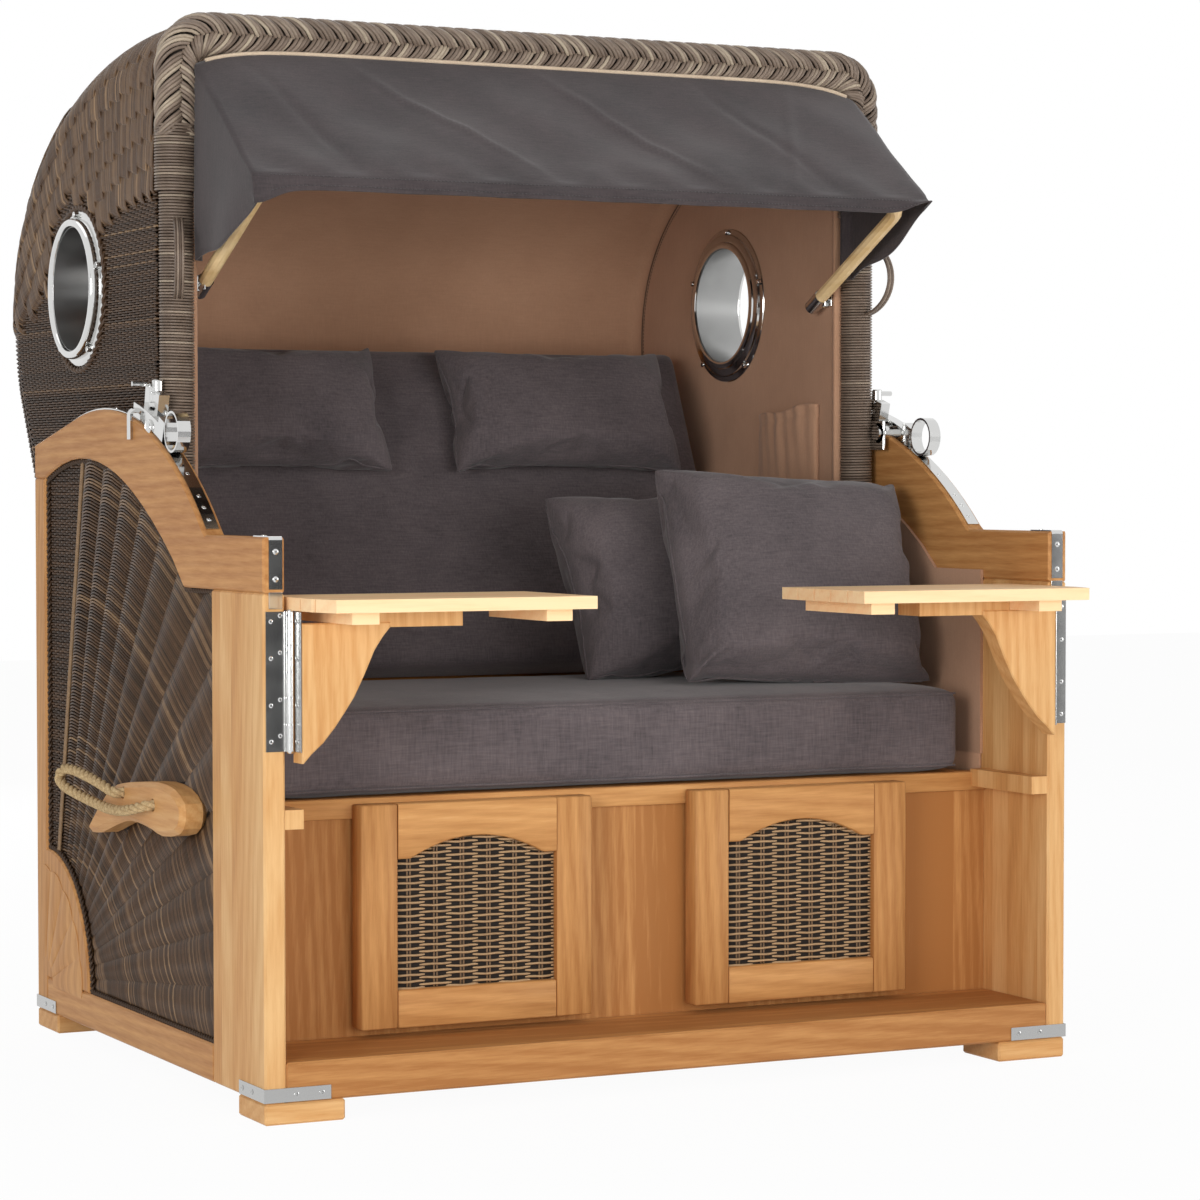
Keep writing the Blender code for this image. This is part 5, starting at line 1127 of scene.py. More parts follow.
def border_height(y):
    """Lowest place of the shingles: down from the sleeve to the porthole, over it, then level."""
    front = 1.335 - 0.27 * (y - 0.56)
    over = PORT_Z + np.sqrt(np.clip(BORDER_FROM_PORT**2 - (y - PORT_Y) ** 2, 0, None))
    border = np.where(y < 0.8, front, np.minimum(front, 1.27))
    return np.maximum(border, np.where(np.abs(y - PORT_Y) < BORDER_FROM_PORT, over, 0))


def shingles(name, side, seed):
    """Scales of nine strands that run down, lift over the scale below and tuck in behind.

    Along a strand, with s from 0 at its top to 1 at its foot, it stands off the surface by
    a low rise that grows with s, then falls under the next scale at the very end.
    """
    draw = np.random.default_rng(seed)
    step_angle, middle_strand = math.radians(3.1), SHINGLE_STRANDS // 2
    lines, tint = [], []
    share = np.linspace(0, 1, SHINGLE_STEPS)
    lift = (0.0012 + 0.0048 * np.sin(np.clip(share / 0.88, 0, 1) * PI * 0.6)
            - 0.0070 * np.clip((share - 0.88) / 0.12, 0, 1))
    for row in range(SHINGLE_ROWS):
        reach = 0.665 + 0.042 * row
        for column in SHINGLE_COLUMNS:
            middle = (column + (0.5 if row % 2 else 0)) * step_angle
            tone = 0.06 * (draw.random() - 0.5)
            for strand in range(SHINGLE_STRANDS):
                place = (strand - middle_strand) / SHINGLE_STRANDS
                angle = middle + place * step_angle * 1.02
                bend = 0.006 * math.sin(place * PI)
                radii = reach + 0.034 - share * 0.066 + bend * share
                lines.append(np.stack([FAN_Y + radii * math.sin(angle), FAN_Z + radii * math.cos(angle)], 1))
                tint.append(0.36 + 0.30 * draw.random() + tone + (0.25 if draw.random() < 0.15 else 0))
    lines, tint = np.array(lines), np.array(tint)
    x, normal, depth = side_surface(lines[..., 0], lines[..., 1])
    foot = lines[:, -2]
    keep = (foot[:, 1] > border_height(foot[:, 0]) - 0.012) & (lines[:, 3, 0] > 0.546)
    keep &= (depth[:, -1] > 0.004) & (below_profile(lines[:, 1])[0] > 0.001)
    x, normal, lines, tint = x[keep], normal[keep], lines[keep], tint[keep]
    normal[..., 0] *= side
    spots = np.stack([side * x, lines[..., 0], lines[..., 1]], -1) + normal * lift[None, :, None]
    points, faces = sweep(spots, normal, round_topped(0.0026, -0.0012, 0.5, 0.0013))
    make(name, points, faces, "hood", RATTAN, tint=np.repeat(tint, SHINGLE_STEPS * 4))


for shingle_side, shingle_sign in SIDES:
    shingles(f"shingle_weave_{shingle_side}", shingle_sign, 41)


# Side panels of the lower box

def side_outline():
    """The opening of a side frame: corners (y, z) from the lower front round to the fan."""
    share = np.linspace(0, 1, 40)
    climb = np.sin(PI / 2 * np.minimum(1, share / ARCH_CREST_SHARE)) ** ARCH_FULLNESS
    top = POST_TOP + (ARCH_CREST - POST_TOP) * climb
    top -= (ARCH_CREST - STILE_TOP) * (np.maximum(0, share - ARCH_CREST_SHARE) / (1 - ARCH_CREST_SHARE)) ** 2
    rear = BOX_DEPTH - STILE_DEPTH
    arch = np.stack([ARCH_START + (rear - ARCH_START) * share, top], 1)
    turn = np.linspace(0, PI / 2, 16)
    fan = np.stack([rear - FAN_RADIUS * np.sin(turn), BOTTOM_RAIL_TOP + FAN_RADIUS * np.cos(turn)], 1)
    return np.vstack([[(POST_DEPTH, BOTTOM_RAIL_TOP), (POST_DEPTH, POST_TOP)], arch, fan])


def inside(points, ring):
    """Which points lie inside a ring of corners, by counting the edges to their right."""
    y, z = points[..., 0], points[..., 1]
    found = np.zeros(y.shape, bool)
    for (y0, z0), (y1, z1) in zip(ring, np.roll(ring, -1, 0)):
        cross = (z0 > z) != (z1 > z)
        if z1 != z0:
            found ^= cross & (y < (y1 - y0) * (z - z0) / (z1 - z0) + y0)
    return found


def grow(ring, by):
    """A ring of corners moved outwards, each corner along the mean of its edges' normals."""
    area = 0.5 * np.sum(ring[:, 0] * np.roll(ring[:, 1], -1) - np.roll(ring[:, 0], -1) * ring[:, 1])
    steps = np.roll(ring, -1, 0) - ring
    normals = np.stack([steps[:, 1], -steps[:, 0]], 1)
    normals /= np.maximum(np.linalg.norm(normals, axis=1), 1e-9)[:, None]
    both = normals + np.roll(normals, 1, 0)
    both /= np.maximum(np.linalg.norm(both, axis=1), 1e-9)[:, None]
    return ring + both * by * (1 if area > 0 else -1)


CENTRE_Y, CENTRE_Z = BOX_DEPTH - STILE_DEPTH, BOTTOM_RAIL_TOP
RAY = math.radians(6.0)
LAST_RAY = math.radians(78.0)
FAN_PITCH = 0.0052


def side_weave(name, side, seed):
    """Fan weave: strands are arcs round the lower rear corner that bulge between fanned stakes.

    Between two stakes the strand swings out from the corner and stands off the panel, both by
    sin(pi t) with t across the band, and bands by turns are half a strand apart.
    """
    ring = side_outline()
    draw = np.random.default_rng(seed)
    lines, lifts, tint = [], [], []
    t = np.linspace(0, 1, 7)
    radii = np.arange(0.150, 1.02, FAN_PITCH)
    shade = 0.20 + 0.30 * draw.random(len(radii) + 60)
    pale = draw.random(len(radii) + 60) < 0.22
    shade[pale] += 0.33
    for band in range(round(LAST_RAY / RAY)):
        arc = band * RAY + (t * 1.16 - 0.08) * RAY
        for k, radius in enumerate(radii):
            r = radius + (0.5 * FAN_PITCH if band % 2 else 0)
            width = r * RAY
            bulge = min(0.0120, 0.19 * width)
            swung = r + 0.16 * width * np.sin(PI * t) - 0.34 * width * (t - 0.5)
            lines.append(np.stack([CENTRE_Y - swung * np.cos(arc), CENTRE_Z + swung * np.sin(arc)], 1))
            lifts.append(-0.0058 + bulge * np.sin(PI * t) ** 0.75)
            tint.append(shade[(k + band * 3) % len(shade)] + 0.06 * (draw.random() - 0.5))
    lines, lifts, tint = np.array(lines), np.array(lifts), np.array(tint)
    keep = inside(lines, ring).any(axis=1)
    lines, lifts, tint = lines[keep], lifts[keep], tint[keep]
    x = side * (SIDE_FACE - 0.0005 + lifts)
    spots = np.concatenate([x[..., None], lines], -1)
    half = FAN_PITCH * 0.43
    section = np.array([(-half, -0.0016), (-half * 0.62, half * 0.6), (0, half),
                        (half * 0.62, half * 0.6), (half, -0.0016)])
    points, (quads, *_) = sweep(spots, np.array([side, 0.0, 0.0]), section)
    quads = quads[inside(points[quads].mean(1)[:, 1:], grow(ring, 0.007))]
    tint = np.repeat(tint, len(t) * len(section))
    drop_loose(make(name, points, [quads], "lower_box", RATTAN, tint=tint).data)


for fan_side, fan_sign in SIDES:
    side_weave(f"fan_weave_{fan_side}", fan_sign, 51)


# Footrest doors

def door_arch(share, lift=0.0):
    """Height of the opening's arch: shoulder + rise (1 - s^2), with s across the opening."""
    return DOOR_SHOULDER + DOOR_RISE * (1 - share**2) + lift


def door_ring(middle):
    """The arched opening of a door, a little larger so that the weave reaches into the frame."""
    half = DOOR_OPENING + 0.004
    share = np.linspace(-1, 1, 31)
    arch = np.stack([middle + share * half, door_arch(share, 0.006)], 1)
    return np.vstack([[(middle - half, 0.150)], [(middle + half, 0.150)], arch[::-1]])


def door_infill(side_name, side):
    """Plain weave of round strands over pairs of upright stakes."""
    middle = side * DOOR_MIDDLE
    low_x, high_x = middle - 0.1255, middle + 0.1255
    low_z, high_z = 0.150, 0.378
    pitch, stake = 0.0048, 0.0425
    draw = np.random.default_rng(61)
    heights = np.arange(low_z, high_z, pitch)
    steps = int((high_x - low_x) / stake * 9)
    x = np.linspace(low_x - 0.004, high_x + 0.004, steps)
    parity = np.where(np.arange(len(heights)) % 2, -1.0, 1.0)[:, None]
    lift = 0.0036 * np.sin(PI * (x[None] - middle) / stake) * parity
    front = DOOR_FRONT + 0.0125
    waver = 0.0004 * np.sin(x * 160 + heights[:, None] * 900)
    paths = np.stack([np.broadcast_to(x, lift.shape), front - lift, heights[:, None] + waver], -1)
    columns = []
    for k in range(-3, 3):
        for off in (-0.0024, 0.0024):
            at = middle + (k + 0.5) * stake + off
            columns.append([(at, front, z) for z in np.linspace(low_z, high_z, 12)])
    facing = np.array([0, -1.0, 0])
    points, faces = merge(sweep(paths, facing, disc(0.0018, 6)),
                          sweep(np.array(columns), facing, disc(0.0017, 6)))
    tint = np.repeat(0.93 + 0.14 * draw.random(len(heights)), steps * 6)
    tint = np.concatenate([tint, np.full(len(points) - len(tint), 0.7)])
    ring = door_ring(middle)
    kept = [group[inside(points[group].mean(1)[:, [0, 2]], ring)] for group in faces]
    drop_loose(make(f"door_weave_{side_name}", points, kept, f"footrest_{side_name}", RATTAN, tint=tint).data)


def door_frame(side_name, side):
    """A footrest's front: two stiles, a plain lower rail and an upper rail with a low arch below.

    The arch starts behind a small ledge at each stile.
    """
    gap, cut_back, arch_share = 0.0002, 0.0022, 0.84
    middle = side * DOOR_MIDDLE
    shapes = []
    for a, b, top in ((-DOOR_HALF, -DOOR_OPENING - gap, DOOR_HIGH),
                      (DOOR_OPENING + gap, DOOR_HALF, DOOR_HIGH),
                      (-DOOR_OPENING + gap, DOOR_OPENING - gap, DOOR_SILL)):
        shapes.append(block((middle + a, DOOR_FRONT, DOOR_LOW), (middle + b, DOOR_BACK, top), cut_back))
    share = np.linspace(-1, 1, 81)
    x = middle + share * (DOOR_OPENING - gap)
    edge = door_arch(np.clip(np.abs(share) / arch_share, 0, 1))
    corners = ((DOOR_FRONT + cut_back, edge), (DOOR_FRONT, edge + cut_back),
               (DOOR_FRONT, DOOR_HIGH - cut_back), (DOOR_FRONT + cut_back, DOOR_HIGH),
               (DOOR_BACK, DOOR_HIGH), (DOOR_BACK, edge))
    profile = np.stack([np.stack(np.broadcast_arrays(x, y, z), 1) for y, z in corners], 1)
    sides = len(corners)
    faces = [grid(len(x), sides, around=True), np.arange(sides)[None, ::-1],
             (len(x) - 1) * sides + np.arange(sides)[None]]
    shapes.append(facing_out(profile.reshape(-1, 3), faces))
    points, faces = merge(*shapes)
    finish = teak(f"teak_door_{side_name}", "z", 33 + side, 0.20, rails=(middle, DOOR_OPENING))
    piece = make(f"door_frame_{side_name}", points, faces, f"footrest_{side_name}", finish, sharp=50)
    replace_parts(piece, f"footrest_front_{side_name}")


for door_side, door_sign in SIDES:
    door_frame(door_side, door_sign)
    door_infill(door_side, door_sign)


# Stainless fittings

def screw_heads(spots, axis, radius=0.0042, height=0.0013):
    """Domed screw heads with a sunk middle: a turned profile at each spot, facing along an axis."""
    profile = [(0.0, -0.0004), (radius, -0.0004), (radius, 0.0003), (radius * 0.72, height * 0.85),
               (radius * 0.36, height), (radius * 0.27, height * 0.35), (0.0, height * 0.3)]
    return merge(*[facing_out(*turned(profile, spot, axis, 14)) for spot in spots])


def knob(spot, axis, radius, height, rounding=0.3, steps=20):
    """A short pin with a rounded end: a turned profile from its foot to its tip."""
    turn = np.linspace(0, PI / 2, 5)
    edge = [(radius * (1 - rounding) + radius * rounding * math.cos(a),
             height - radius * rounding * (1 - math.sin(a))) for a in turn]
    return facing_out(*turned([(0.0, 0.0), (radius, 0.0), *edge, (0.0, height)], spot, axis, steps))


def fitting(name, body, *parts, finish=STEEL):
    """Several steel shapes as one piece."""
    points, faces = merge(*parts)
    piece = make(name, points, faces, body, finish, sharp=35)
    weld_mesh(piece.data)
    return piece


def side_block(side, low, high, bevel=0.0004):
    """A box given by |x|, y and z, on one side of the chair."""
    (x0, y0, z0), (x1, y1, z1) = low, high
    a, b = sorted((side * x0, side * x1))
    return block((a, y0, z0), (b, y1, z1), bevel)


def strap(path, normals, width, thickness):
    """A flat band along a path, its width square to the path and the normals."""
    w, h = width / 2, thickness / 2
    section = np.array([(-w, -h), (w, -h), (w, h), (-w, h)])[::-1]
    return facing_out(*sweep(np.array(path, float)[None], np.array(normals, float)[None], section))


def corner_brackets():
    """Angle straps at the four lower corners, two screws in each leg."""
    leg, low, high, sheet, screws = 0.098, 0.0315, 0.0515, 0.0018, (0.014, 0.052)
    for side_name, side in SIDES:
        parts = []
        for end, sign in ((0.0, 1), (BOX_DEPTH, -1)):
            outer, inner = end - sign * sheet, end
            parts.append(side_block(side, (HALF_WIDTH - leg, min(outer, inner), low),
                                    (HALF_WIDTH + sheet, max(outer, inner), high)))
            near, far = sorted((end, end + sign * leg))
            parts.append(side_block(side, (HALF_WIDTH + 0.0001, near, low), (HALF_WIDTH + sheet, far, high)))
            middle = (low + high) / 2
            parts.append(screw_heads([(side * (HALF_WIDTH - leg + d), outer, middle) for d in screws],
                                     (0, -sign, 0)))
            parts.append(screw_heads([(side * (HALF_WIDTH + sheet), end + sign * (leg - d), middle)
                                      for d in screws], (side, 0, 0)))
        fitting(f"corner_brackets_{side_name}", "lower_box", *parts, finish=SHADED_STEEL)


def table_hinges():
    """Butt hinges: screws in the post's leaf, knuckle joints, and the leaf on the bracket's end."""
    rows, low, high = (0.533, 0.583, 0.648, 0.699), 0.519, 0.7125
    for side_name, side in SIDES:
        in_post = [(side * x, -0.0024, z + dz) for z in rows for x, dz in ((0.650, 0.0), (0.6365, 0.008))]
        parts = [screw_heads(in_post, (0, -1, 0))]
        for z in (0.5555, 0.5925, 0.6285, 0.665):
            parts.append(knob((side * HINGE_X, HINGE_Y, z), (0, 0, 1), 0.0062, 0.0022, 0.1, 18))
        for z, way in ((low, -1), (high, 1)):
            parts.append(knob((side * HINGE_X, HINGE_Y, z), (0, 0, way), 0.0045, 0.003, 0.6, 18))
        fitting(f"hinge_screws_{side_name}", "lower_box", *parts)
        leaf = side_block(side, (0.6176, -0.0368, low), (0.6194, -0.0140, high))
        in_leaf = [(side * 0.6194, y, z) for z in rows for y in (-0.030, -0.020)]
        fitting(f"hinge_leaf_{side_name}", f"table_{side_name}", leaf,
                screw_heads(in_leaf, (side, 0, 0), 0.0034), finish=SHADED_STEEL)


def arm_straps():
    """Flat straps that wrap the armrests' front ends, screwed on, with a small plate below."""
    middle, top, bend = 0.642, POST_TOP + 0.077, 0.004
    turn = np.linspace(0, PI / 2, 7)[1:]
    path = [(-0.001, z) for z in np.linspace(0.743, top - bend, 6)]
    path += [(bend - 0.001 - bend * math.cos(a), top - bend + (bend + 0.001) * math.sin(a)) for a in turn]
    path += [(y, top + 0.001) for y in np.linspace(0.012, 0.058, 4)]
    for side_name, side in SIDES:
        line = np.array([(side * middle, y, z) for y, z in path])
        normals = np.cross(np.gradient(line, axis=0), (1.0, 0, 0))
        fitting(f"arm_strap_{side_name}", "lower_box", strap(line, normals, 0.020, 0.0018),
                side_block(side, (0.632, -0.0019, 0.716), (0.652, -0.0001, 0.739)),
                screw_heads([(side * middle, -0.0019, z) for z in (0.757, 0.795)], (0, -1, 0)),
                screw_heads([(side * middle, 0.042, top + 0.0019)], (0, 0, 1)))


def strip_screws():
    """Low screw heads along the guide strips, each facing away from the hood's axle."""
    reach = GUIDE_RADIUS + 0.0023
    for side_name, side in SIDES:
        parts = []
        for turn in np.radians((-41.5, -39.2, -36.9, -32, -3, 3, 9, 12.3)):
            out = (0.0, math.sin(turn), math.cos(turn))
            spot = (side * 0.644, AXLE_Y + reach * out[1], AXLE_Z + reach * out[2])
            parts.append(screw_heads([spot], out, 0.0036, 0.0006))
        fitting(f"strip_screws_{side_name}", "lower_box", *parts)


def portholes():
    """A turned ring: domed bezel and flat collar outside, tube through the wall, flange inside.

    Each is fixed by five pins on either face, lined with a brushed tube and bordered outside by
    two strands twisted together.
    """
    profile = [(0.0990, 0.5480), (0.0990, 0.6350), (0.1003, 0.6385), (0.1030, 0.6402), (0.1075, 0.6402),
               (0.1105, 0.6390), (0.1122, 0.6362), (0.1126, 0.6320), (0.1128, 0.6262), (0.1175, 0.6258),
               (0.1225, 0.6248), (0.1245, 0.6230), (0.1245, 0.6206), (0.1022, 0.6206), (0.1022, 0.5597),
               (0.1335, 0.5597), (0.1342, 0.5582), (0.1330, 0.5568), (0.1245, 0.5552), (0.1236, 0.5520),
               (0.1215, 0.5506), (0.1115, 0.5494), (0.1100, 0.5470), (0.1070, 0.5458), (0.1020, 0.5458),
               (0.0998, 0.5464)]
    for side_name, side in SIDES:
        axis = (side, 0.0, 0.0)
        centre = (0.0, PORT_Y, PORT_Z)
        parts = [facing_out(*turned(profile, centre, axis, 96))]
        for k in range(5):
            turn = math.radians(72 * k + 20)
            y, z = math.cos(turn), math.sin(turn)
            for x, radius, way, size in ((0.6255, 0.1185, side, (0.0048, 0.0075)),
                                         (0.5562, 0.1285, -side, (0.0046, 0.0062))):
                spot = (side * x, PORT_Y + radius * y, PORT_Z + radius * z)
                parts.append(knob(spot, (way, 0.0, 0.0), *size))
        piece = fitting(f"porthole_ring_{side_name}", "hood", *parts)
        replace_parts(piece, f"porthole_{side_name}")
        tube = [(0.0984, 0.5500), (0.0984, 0.6335), (0.0991, 0.6335), (0.0991, 0.5500)]
        fitting(f"porthole_tube_{side_name}", "hood", facing_out(*turned(tube, centre, axis, 96)),
                finish=BRUSHED)
        turn = np.linspace(0, 2 * PI, 150, endpoint=False)
        rings, ways = [], []
        for k in range(2):
            phase = turn * 27 + k * PI
            radius = 0.1305 + 0.0026 * np.cos(phase)
            ring = np.stack([side * (0.6225 + 0.0026 * np.sin(phase)), PORT_Y + radius * np.cos(turn),
                             PORT_Z + radius * np.sin(turn)], 1)
            rings.append(ring)
            ways.append(np.stack([0 * turn, np.cos(turn), np.sin(turn)], 1))
        points, faces = facing_out(*sweep(np.array(rings), np.array(ways), disc(0.0030, 7), closed=True))
        make(f"porthole_border_{side_name}", points, faces, "hood", RATTAN, tint=np.full(len(points), 0.36))


def clamp_parts():
    """The clamp's screw with its collars, the pin beside it, and the plate that carries both."""
    hub_y, hub_z, pin_x, pin_y = 0.486, 0.972, 0.629, 0.520
    for side_name, side in SIDES:
        parts = []
        for x, size in ((0.606, (0.0125, 0.052, 0.18)), (0.612, (0.0165, 0.008)), (0.640, (0.0155, 0.006))):
            parts.append(knob((side * x, hub_y, hub_z), (side, 0, 0), *size, steps=24))
        for z, size, steps in ((0.985, (0.0085, 0.060, 0.3), 20), (1.004, (0.0130, 0.009, 0.25), 6),
                               (1.022, (0.0120, 0.006, 0.3), 24)):
            parts.append(knob((side * pin_x, pin_y, z), (0, 0, 1), *size, steps=steps))
        parts.append(side_block(side, (0.612, 0.4700, 0.944), (0.6165, 0.560, 0.992), 0.001))
        parts.append(screw_heads([(side * 0.612, y, z) for y, z in ((0.545, 0.955), (0.548, 0.980))],
                                 (-side, 0, 0)))
        fitting(f"clamp_screw_{side_name}", "hood", *parts)


def bow_clips():
    """Saddle clips that hold the bow's feet: a forked plate, a cross pin and a thumb nut.

    A turned sleeve sits on each end of the bow itself.
    """
    pin_y, pin_z = 0.5530, 1.1940
    for side_name, side in SIDES:
        parts = [side_block(side, (0.5425, 0.5590, 1.1815), (0.5600, 0.5625, 1.2065), 0.0008)]
        for x in (0.5440, 0.5560):
            parts.append(side_block(side, (x - 0.0012, 0.5440, 1.1835), (x + 0.0012, 0.5600, 1.2045), 0.0005))
        parts.append(knob((side * 0.5400, pin_y, pin_z), (side, 0, 0), 0.0030, 0.0200, 0.2, 14))
        parts.append(knob((side * 0.5405, pin_y, pin_z), (-side, 0, 0), 0.0065, 0.0060, 0.35, 18))
        fitting(f"bow_clip_{side_name}", "hood", *parts)
        foot = np.array([side * BOW_X, BOW_Y, BOW_Z])
        tip = np.array([side * BOW_X, BOW_FRONT_Y, BOW_FRONT_Z])
        way = (tip - foot) / np.linalg.norm(tip - foot)
        start = foot - way * 0.0135
        sleeve = [(0.0, 0.0), (0.0105, 0.0), (0.0124, 0.0015), (0.0124, 0.040), (0.0112, 0.040)]
        fitting(f"bow_ferrule_{side_name}", "bow", facing_out(*turned(sleeve, start, way, 28)))


corner_brackets()
bow_clips()
table_hinges()
arm_straps()
strip_screws()
portholes()
clamp_parts()


# Piping, pocket, carved fans, the plain weave beside them, seams and edges

def inner_piping():
    """A pale welt along the inner edge of the opening, between the wickerwork and the lining."""
    path, _, _ = rim_path(500)
    out, back = ring_frame(path)
    offset = np.where(path[:, 2] > SLEEVE_TOP, PLAIT_RADIUS, RIM_RADIUS + 0.001)[:, None]
    line = path - out * (eased(offset, 8) - 0.0005) + back * 0.0185
    points, faces = facing_out(*sweep(line[None], out[None], disc(0.0058, 10)))
    make("opening_piping", points, faces, "hood", PIPING)


def thicken(piece, thickness):
    """Give a sheet its thickness, half to each side."""
    wall = piece.modifiers.new("cloth", "SOLIDIFY")
    wall.thickness = thickness
    wall.offset = 0


def pocket():
    """A gathered pocket on the right inner wall.

    With u across and v up, it stands off the wall by a swell sin(pi u)^0.6 that is least at its
    foot, and by two sets of gathers, sines of u, that grow towards its elastic upper hem.
    """
    wall_x, flat_size = 0.559, (0.26, 0.222)
    u = np.linspace(0, 1, 90)[None, :]
    v = np.linspace(0, 1, 50)[:, None]
    y = 0.592 + 0.198 * u + 0 * v
    z = 0.80 + 0.222 * v - 0.018 * v * u + 0.003 * np.sin(u * 9) * v
    swell = np.sin(PI * u) ** 0.6
    gather = 0.0016 * np.sin(u * 37 + 1.3 * np.sin(v * 4)) + 0.0014 * np.sin(u * 23 + 2 * v)
    gather = gather * v**1.4 * swell
    hem = 0.0022 * np.exp(-((v - 0.93) / 0.03) ** 2)
    x = 0.5585 - (0.004 + 0.013 * swell * (0.35 + 0.65 * np.sin(PI * v * 0.62))) - gather + hem
    x = np.where((u <= 0) | (u >= 1), wall_x, x)
    points = np.stack([x, y, z], -1).reshape(-1, 3)
    piece = make("lining_pocket", points, grid(*x.shape)[:, ::-1], "hood", TAUPE)
    thicken(piece, 0.0016)


def carved_fans():
    """Sunburst carving on the rear corners: flutes that fan out from the corner.

    With r from the corner and t the turn, the relief is a low wall times |sin(9 t)| that
    starts and ends softly along r.
    """
    hub, depth, length, flutes, overlap = 0.045, 0.0028, 0.151, 9, 0.012
    turn = np.linspace(0, PI / 2, 145)[None, :]
    r = np.linspace(hub, 0.196, 40)[:, None]
    share = (r - hub) / length
    flute = np.abs(np.sin(turn * flutes))
    height = depth * flute**0.55 * np.sin(PI * np.clip(share, 0.02, 0.98)) ** 0.35
    scallop = 1 - 0.035 * (1 - flute) * share
    y = BOX_DEPTH - STILE_DEPTH + overlap - r * scallop * np.cos(turn)
    z = BOTTOM_RAIL_TOP - overlap + r * scallop * np.sin(turn)
    for k, (side_name, side) in enumerate(SIDES):
        face = np.stack([side * (HALF_WIDTH + 0.0002 + height), y, z], -1)
        back = np.stack([side * (HALF_WIDTH - 0.0006 + 0 * height), y, z], -1)
        faces, _ = bridged(grid(*height.shape), height.size)
        points = np.concatenate([face.reshape(-1, 3), back.reshape(-1, 3)])
        finish = teak(f"teak_fan_{side_name}", "z", 70 + k, 0.1)
        make(f"carved_fan_{side_name}", *facing_out(points, faces), "lower_box", finish, sharp=60)


def stile_weave():
    """Plain weave between the fan's last stake and the rear stile: strands over and under uprights."""
    draw = np.random.default_rng(81)
    pitch, stake, steps, overlap = 0.0043, 0.0125, 60, 0.006
    heights = np.arange(0.30, 0.925, pitch)
    u = np.linspace(0, 1, steps)
    rear = BOX_DEPTH - STILE_DEPTH + overlap
    start = rear - (heights - BOTTOM_RAIL_TOP) / math.tan(LAST_RAY) - 0.010
    y = start[:, None] + (rear - start)[:, None] * u[None]
    parity = np.where(np.arange(len(heights)) % 2, -1.0, 1.0)[:, None]
    lift = 0.0026 * np.sin(PI * y / stake) * parity
    z = heights[:, None] + 0.0004 * np.sin(y * 300)
    ray = np.linspace(0.06, 0.90, 90)
    cosine, sine = math.cos(LAST_RAY), math.sin(LAST_RAY)
    pair = [(rear - overlap - ray * cosine + off * sine, BOTTOM_RAIL_TOP + ray * sine + off * cosine)
            for off in (-0.0026, 0.0026)]
    tint = np.repeat(0.14 + 0.30 * draw.random(len(heights)), steps * 6)
    for side_name, side in SIDES:
        facing = np.array([side, 0.0, 0.0])
        rows = sweep(np.stack([side * (SIDE_FACE - 0.0015 + lift), y, z], -1), facing, disc(0.0021, 6))
        uprights = [np.stack(np.broadcast_arrays(side * (SIDE_FACE + 0.003), *spot), 1) for spot in pair]
        stakes = sweep(np.array(uprights), facing, disc(0.0024, 8))
        points, faces = merge(rows, stakes)
        both = np.concatenate([tint, np.full(len(points) - len(tint), 0.85)])
        piece = make(f"stile_weave_{side_name}", points, faces, "lower_box", RATTAN, tint=both)
        drop_outside(piece, grow(side_outline(), 0.006))


def drop_outside(piece, ring):
    """Leave out the faces whose middle lies outside a ring of (y, z) corners."""
    shape = bmesh.new()
    shape.from_mesh(piece.data)
    centres = np.array([face.calc_center_median() for face in shape.faces])
    centres[:, 1] += SETBACK
    keep = inside(centres[:, 1:], ring)
    out = [face for face, stays in zip(list(shape.faces), keep) if not stays]
    bmesh.ops.delete(shape, geom=out, context="FACES")
    shape.to_mesh(piece.data)
    shape.free()


def stitched(line, spacing, stitch, radius, off):
    """A row of short straight stitches along a line, as one swept shape."""
    _, length = along(line, [0])
    count = int(length / spacing)
    places = np.linspace(0.004, length - 0.006, count)[:, None] + np.linspace(0, stitch, 3)[None]
    return sweep(along(line, places.ravel())[0].reshape(count, 3, 3), np.array(off), disc(radius, 5))


def lining_seams():
    """A cord and two rows of stitches down each of the lining's corner seams."""
    line, inward, _, _ = hood_profile(np.linspace(0.25, HOOD_LENGTH - 0.10, 260))
    strips = []
    for _, side in SIDES:
        for off, corded in ((0.084, True), (0.090, False)):
            spot = line + inward * off
            path = np.stack([np.full(len(spot), side * 0.5592), spot[:, 0], spot[:, 1]], 1)
            strips.append(stitched(path, 0.0065, 0.0044, 0.0007, (-side, 0.0, 0.0)))
            if corded:
                strips.append(sweep(path[None], np.array([-side, 0.0, 0.0]), disc(0.0013, 6)))
    points, faces = merge(*strips)
    make("lining_seams", points, faces, "hood", TAUPE_THREAD)


def seat_rail():
    """The rail along the front panel's upper edge, and strips of lining that close the gaps
    below the side linings and between the hood's lining and its side tubes."""
    points, faces = block((-0.6272, 0.1757, 0.4035), (0.6272, 0.1826, 0.4325), 0.0012)
    make("seat_rail", points, faces, "lower_box", teak("teak_seat_rail", "x", 91, 0.14), sharp=50)
    for side_name, side in SIDES:
        shape = side_block(side, (0.6232, 0.1900, 0.4152), (0.6274, 0.9840, 0.4640), 0.0008)
        make(f"lining_skirt_{side_name}", *shape, "lower_box", TAUPE, sharp=50)
        shape = side_block(side, (0.5580, 0.5380, SIDE_FOOT_Z + 0.002), (0.5720, 0.5470, 1.500), 0.0015)
        make(f"lining_facing_{side_name}", *shape, "hood", TAUPE, sharp=50)


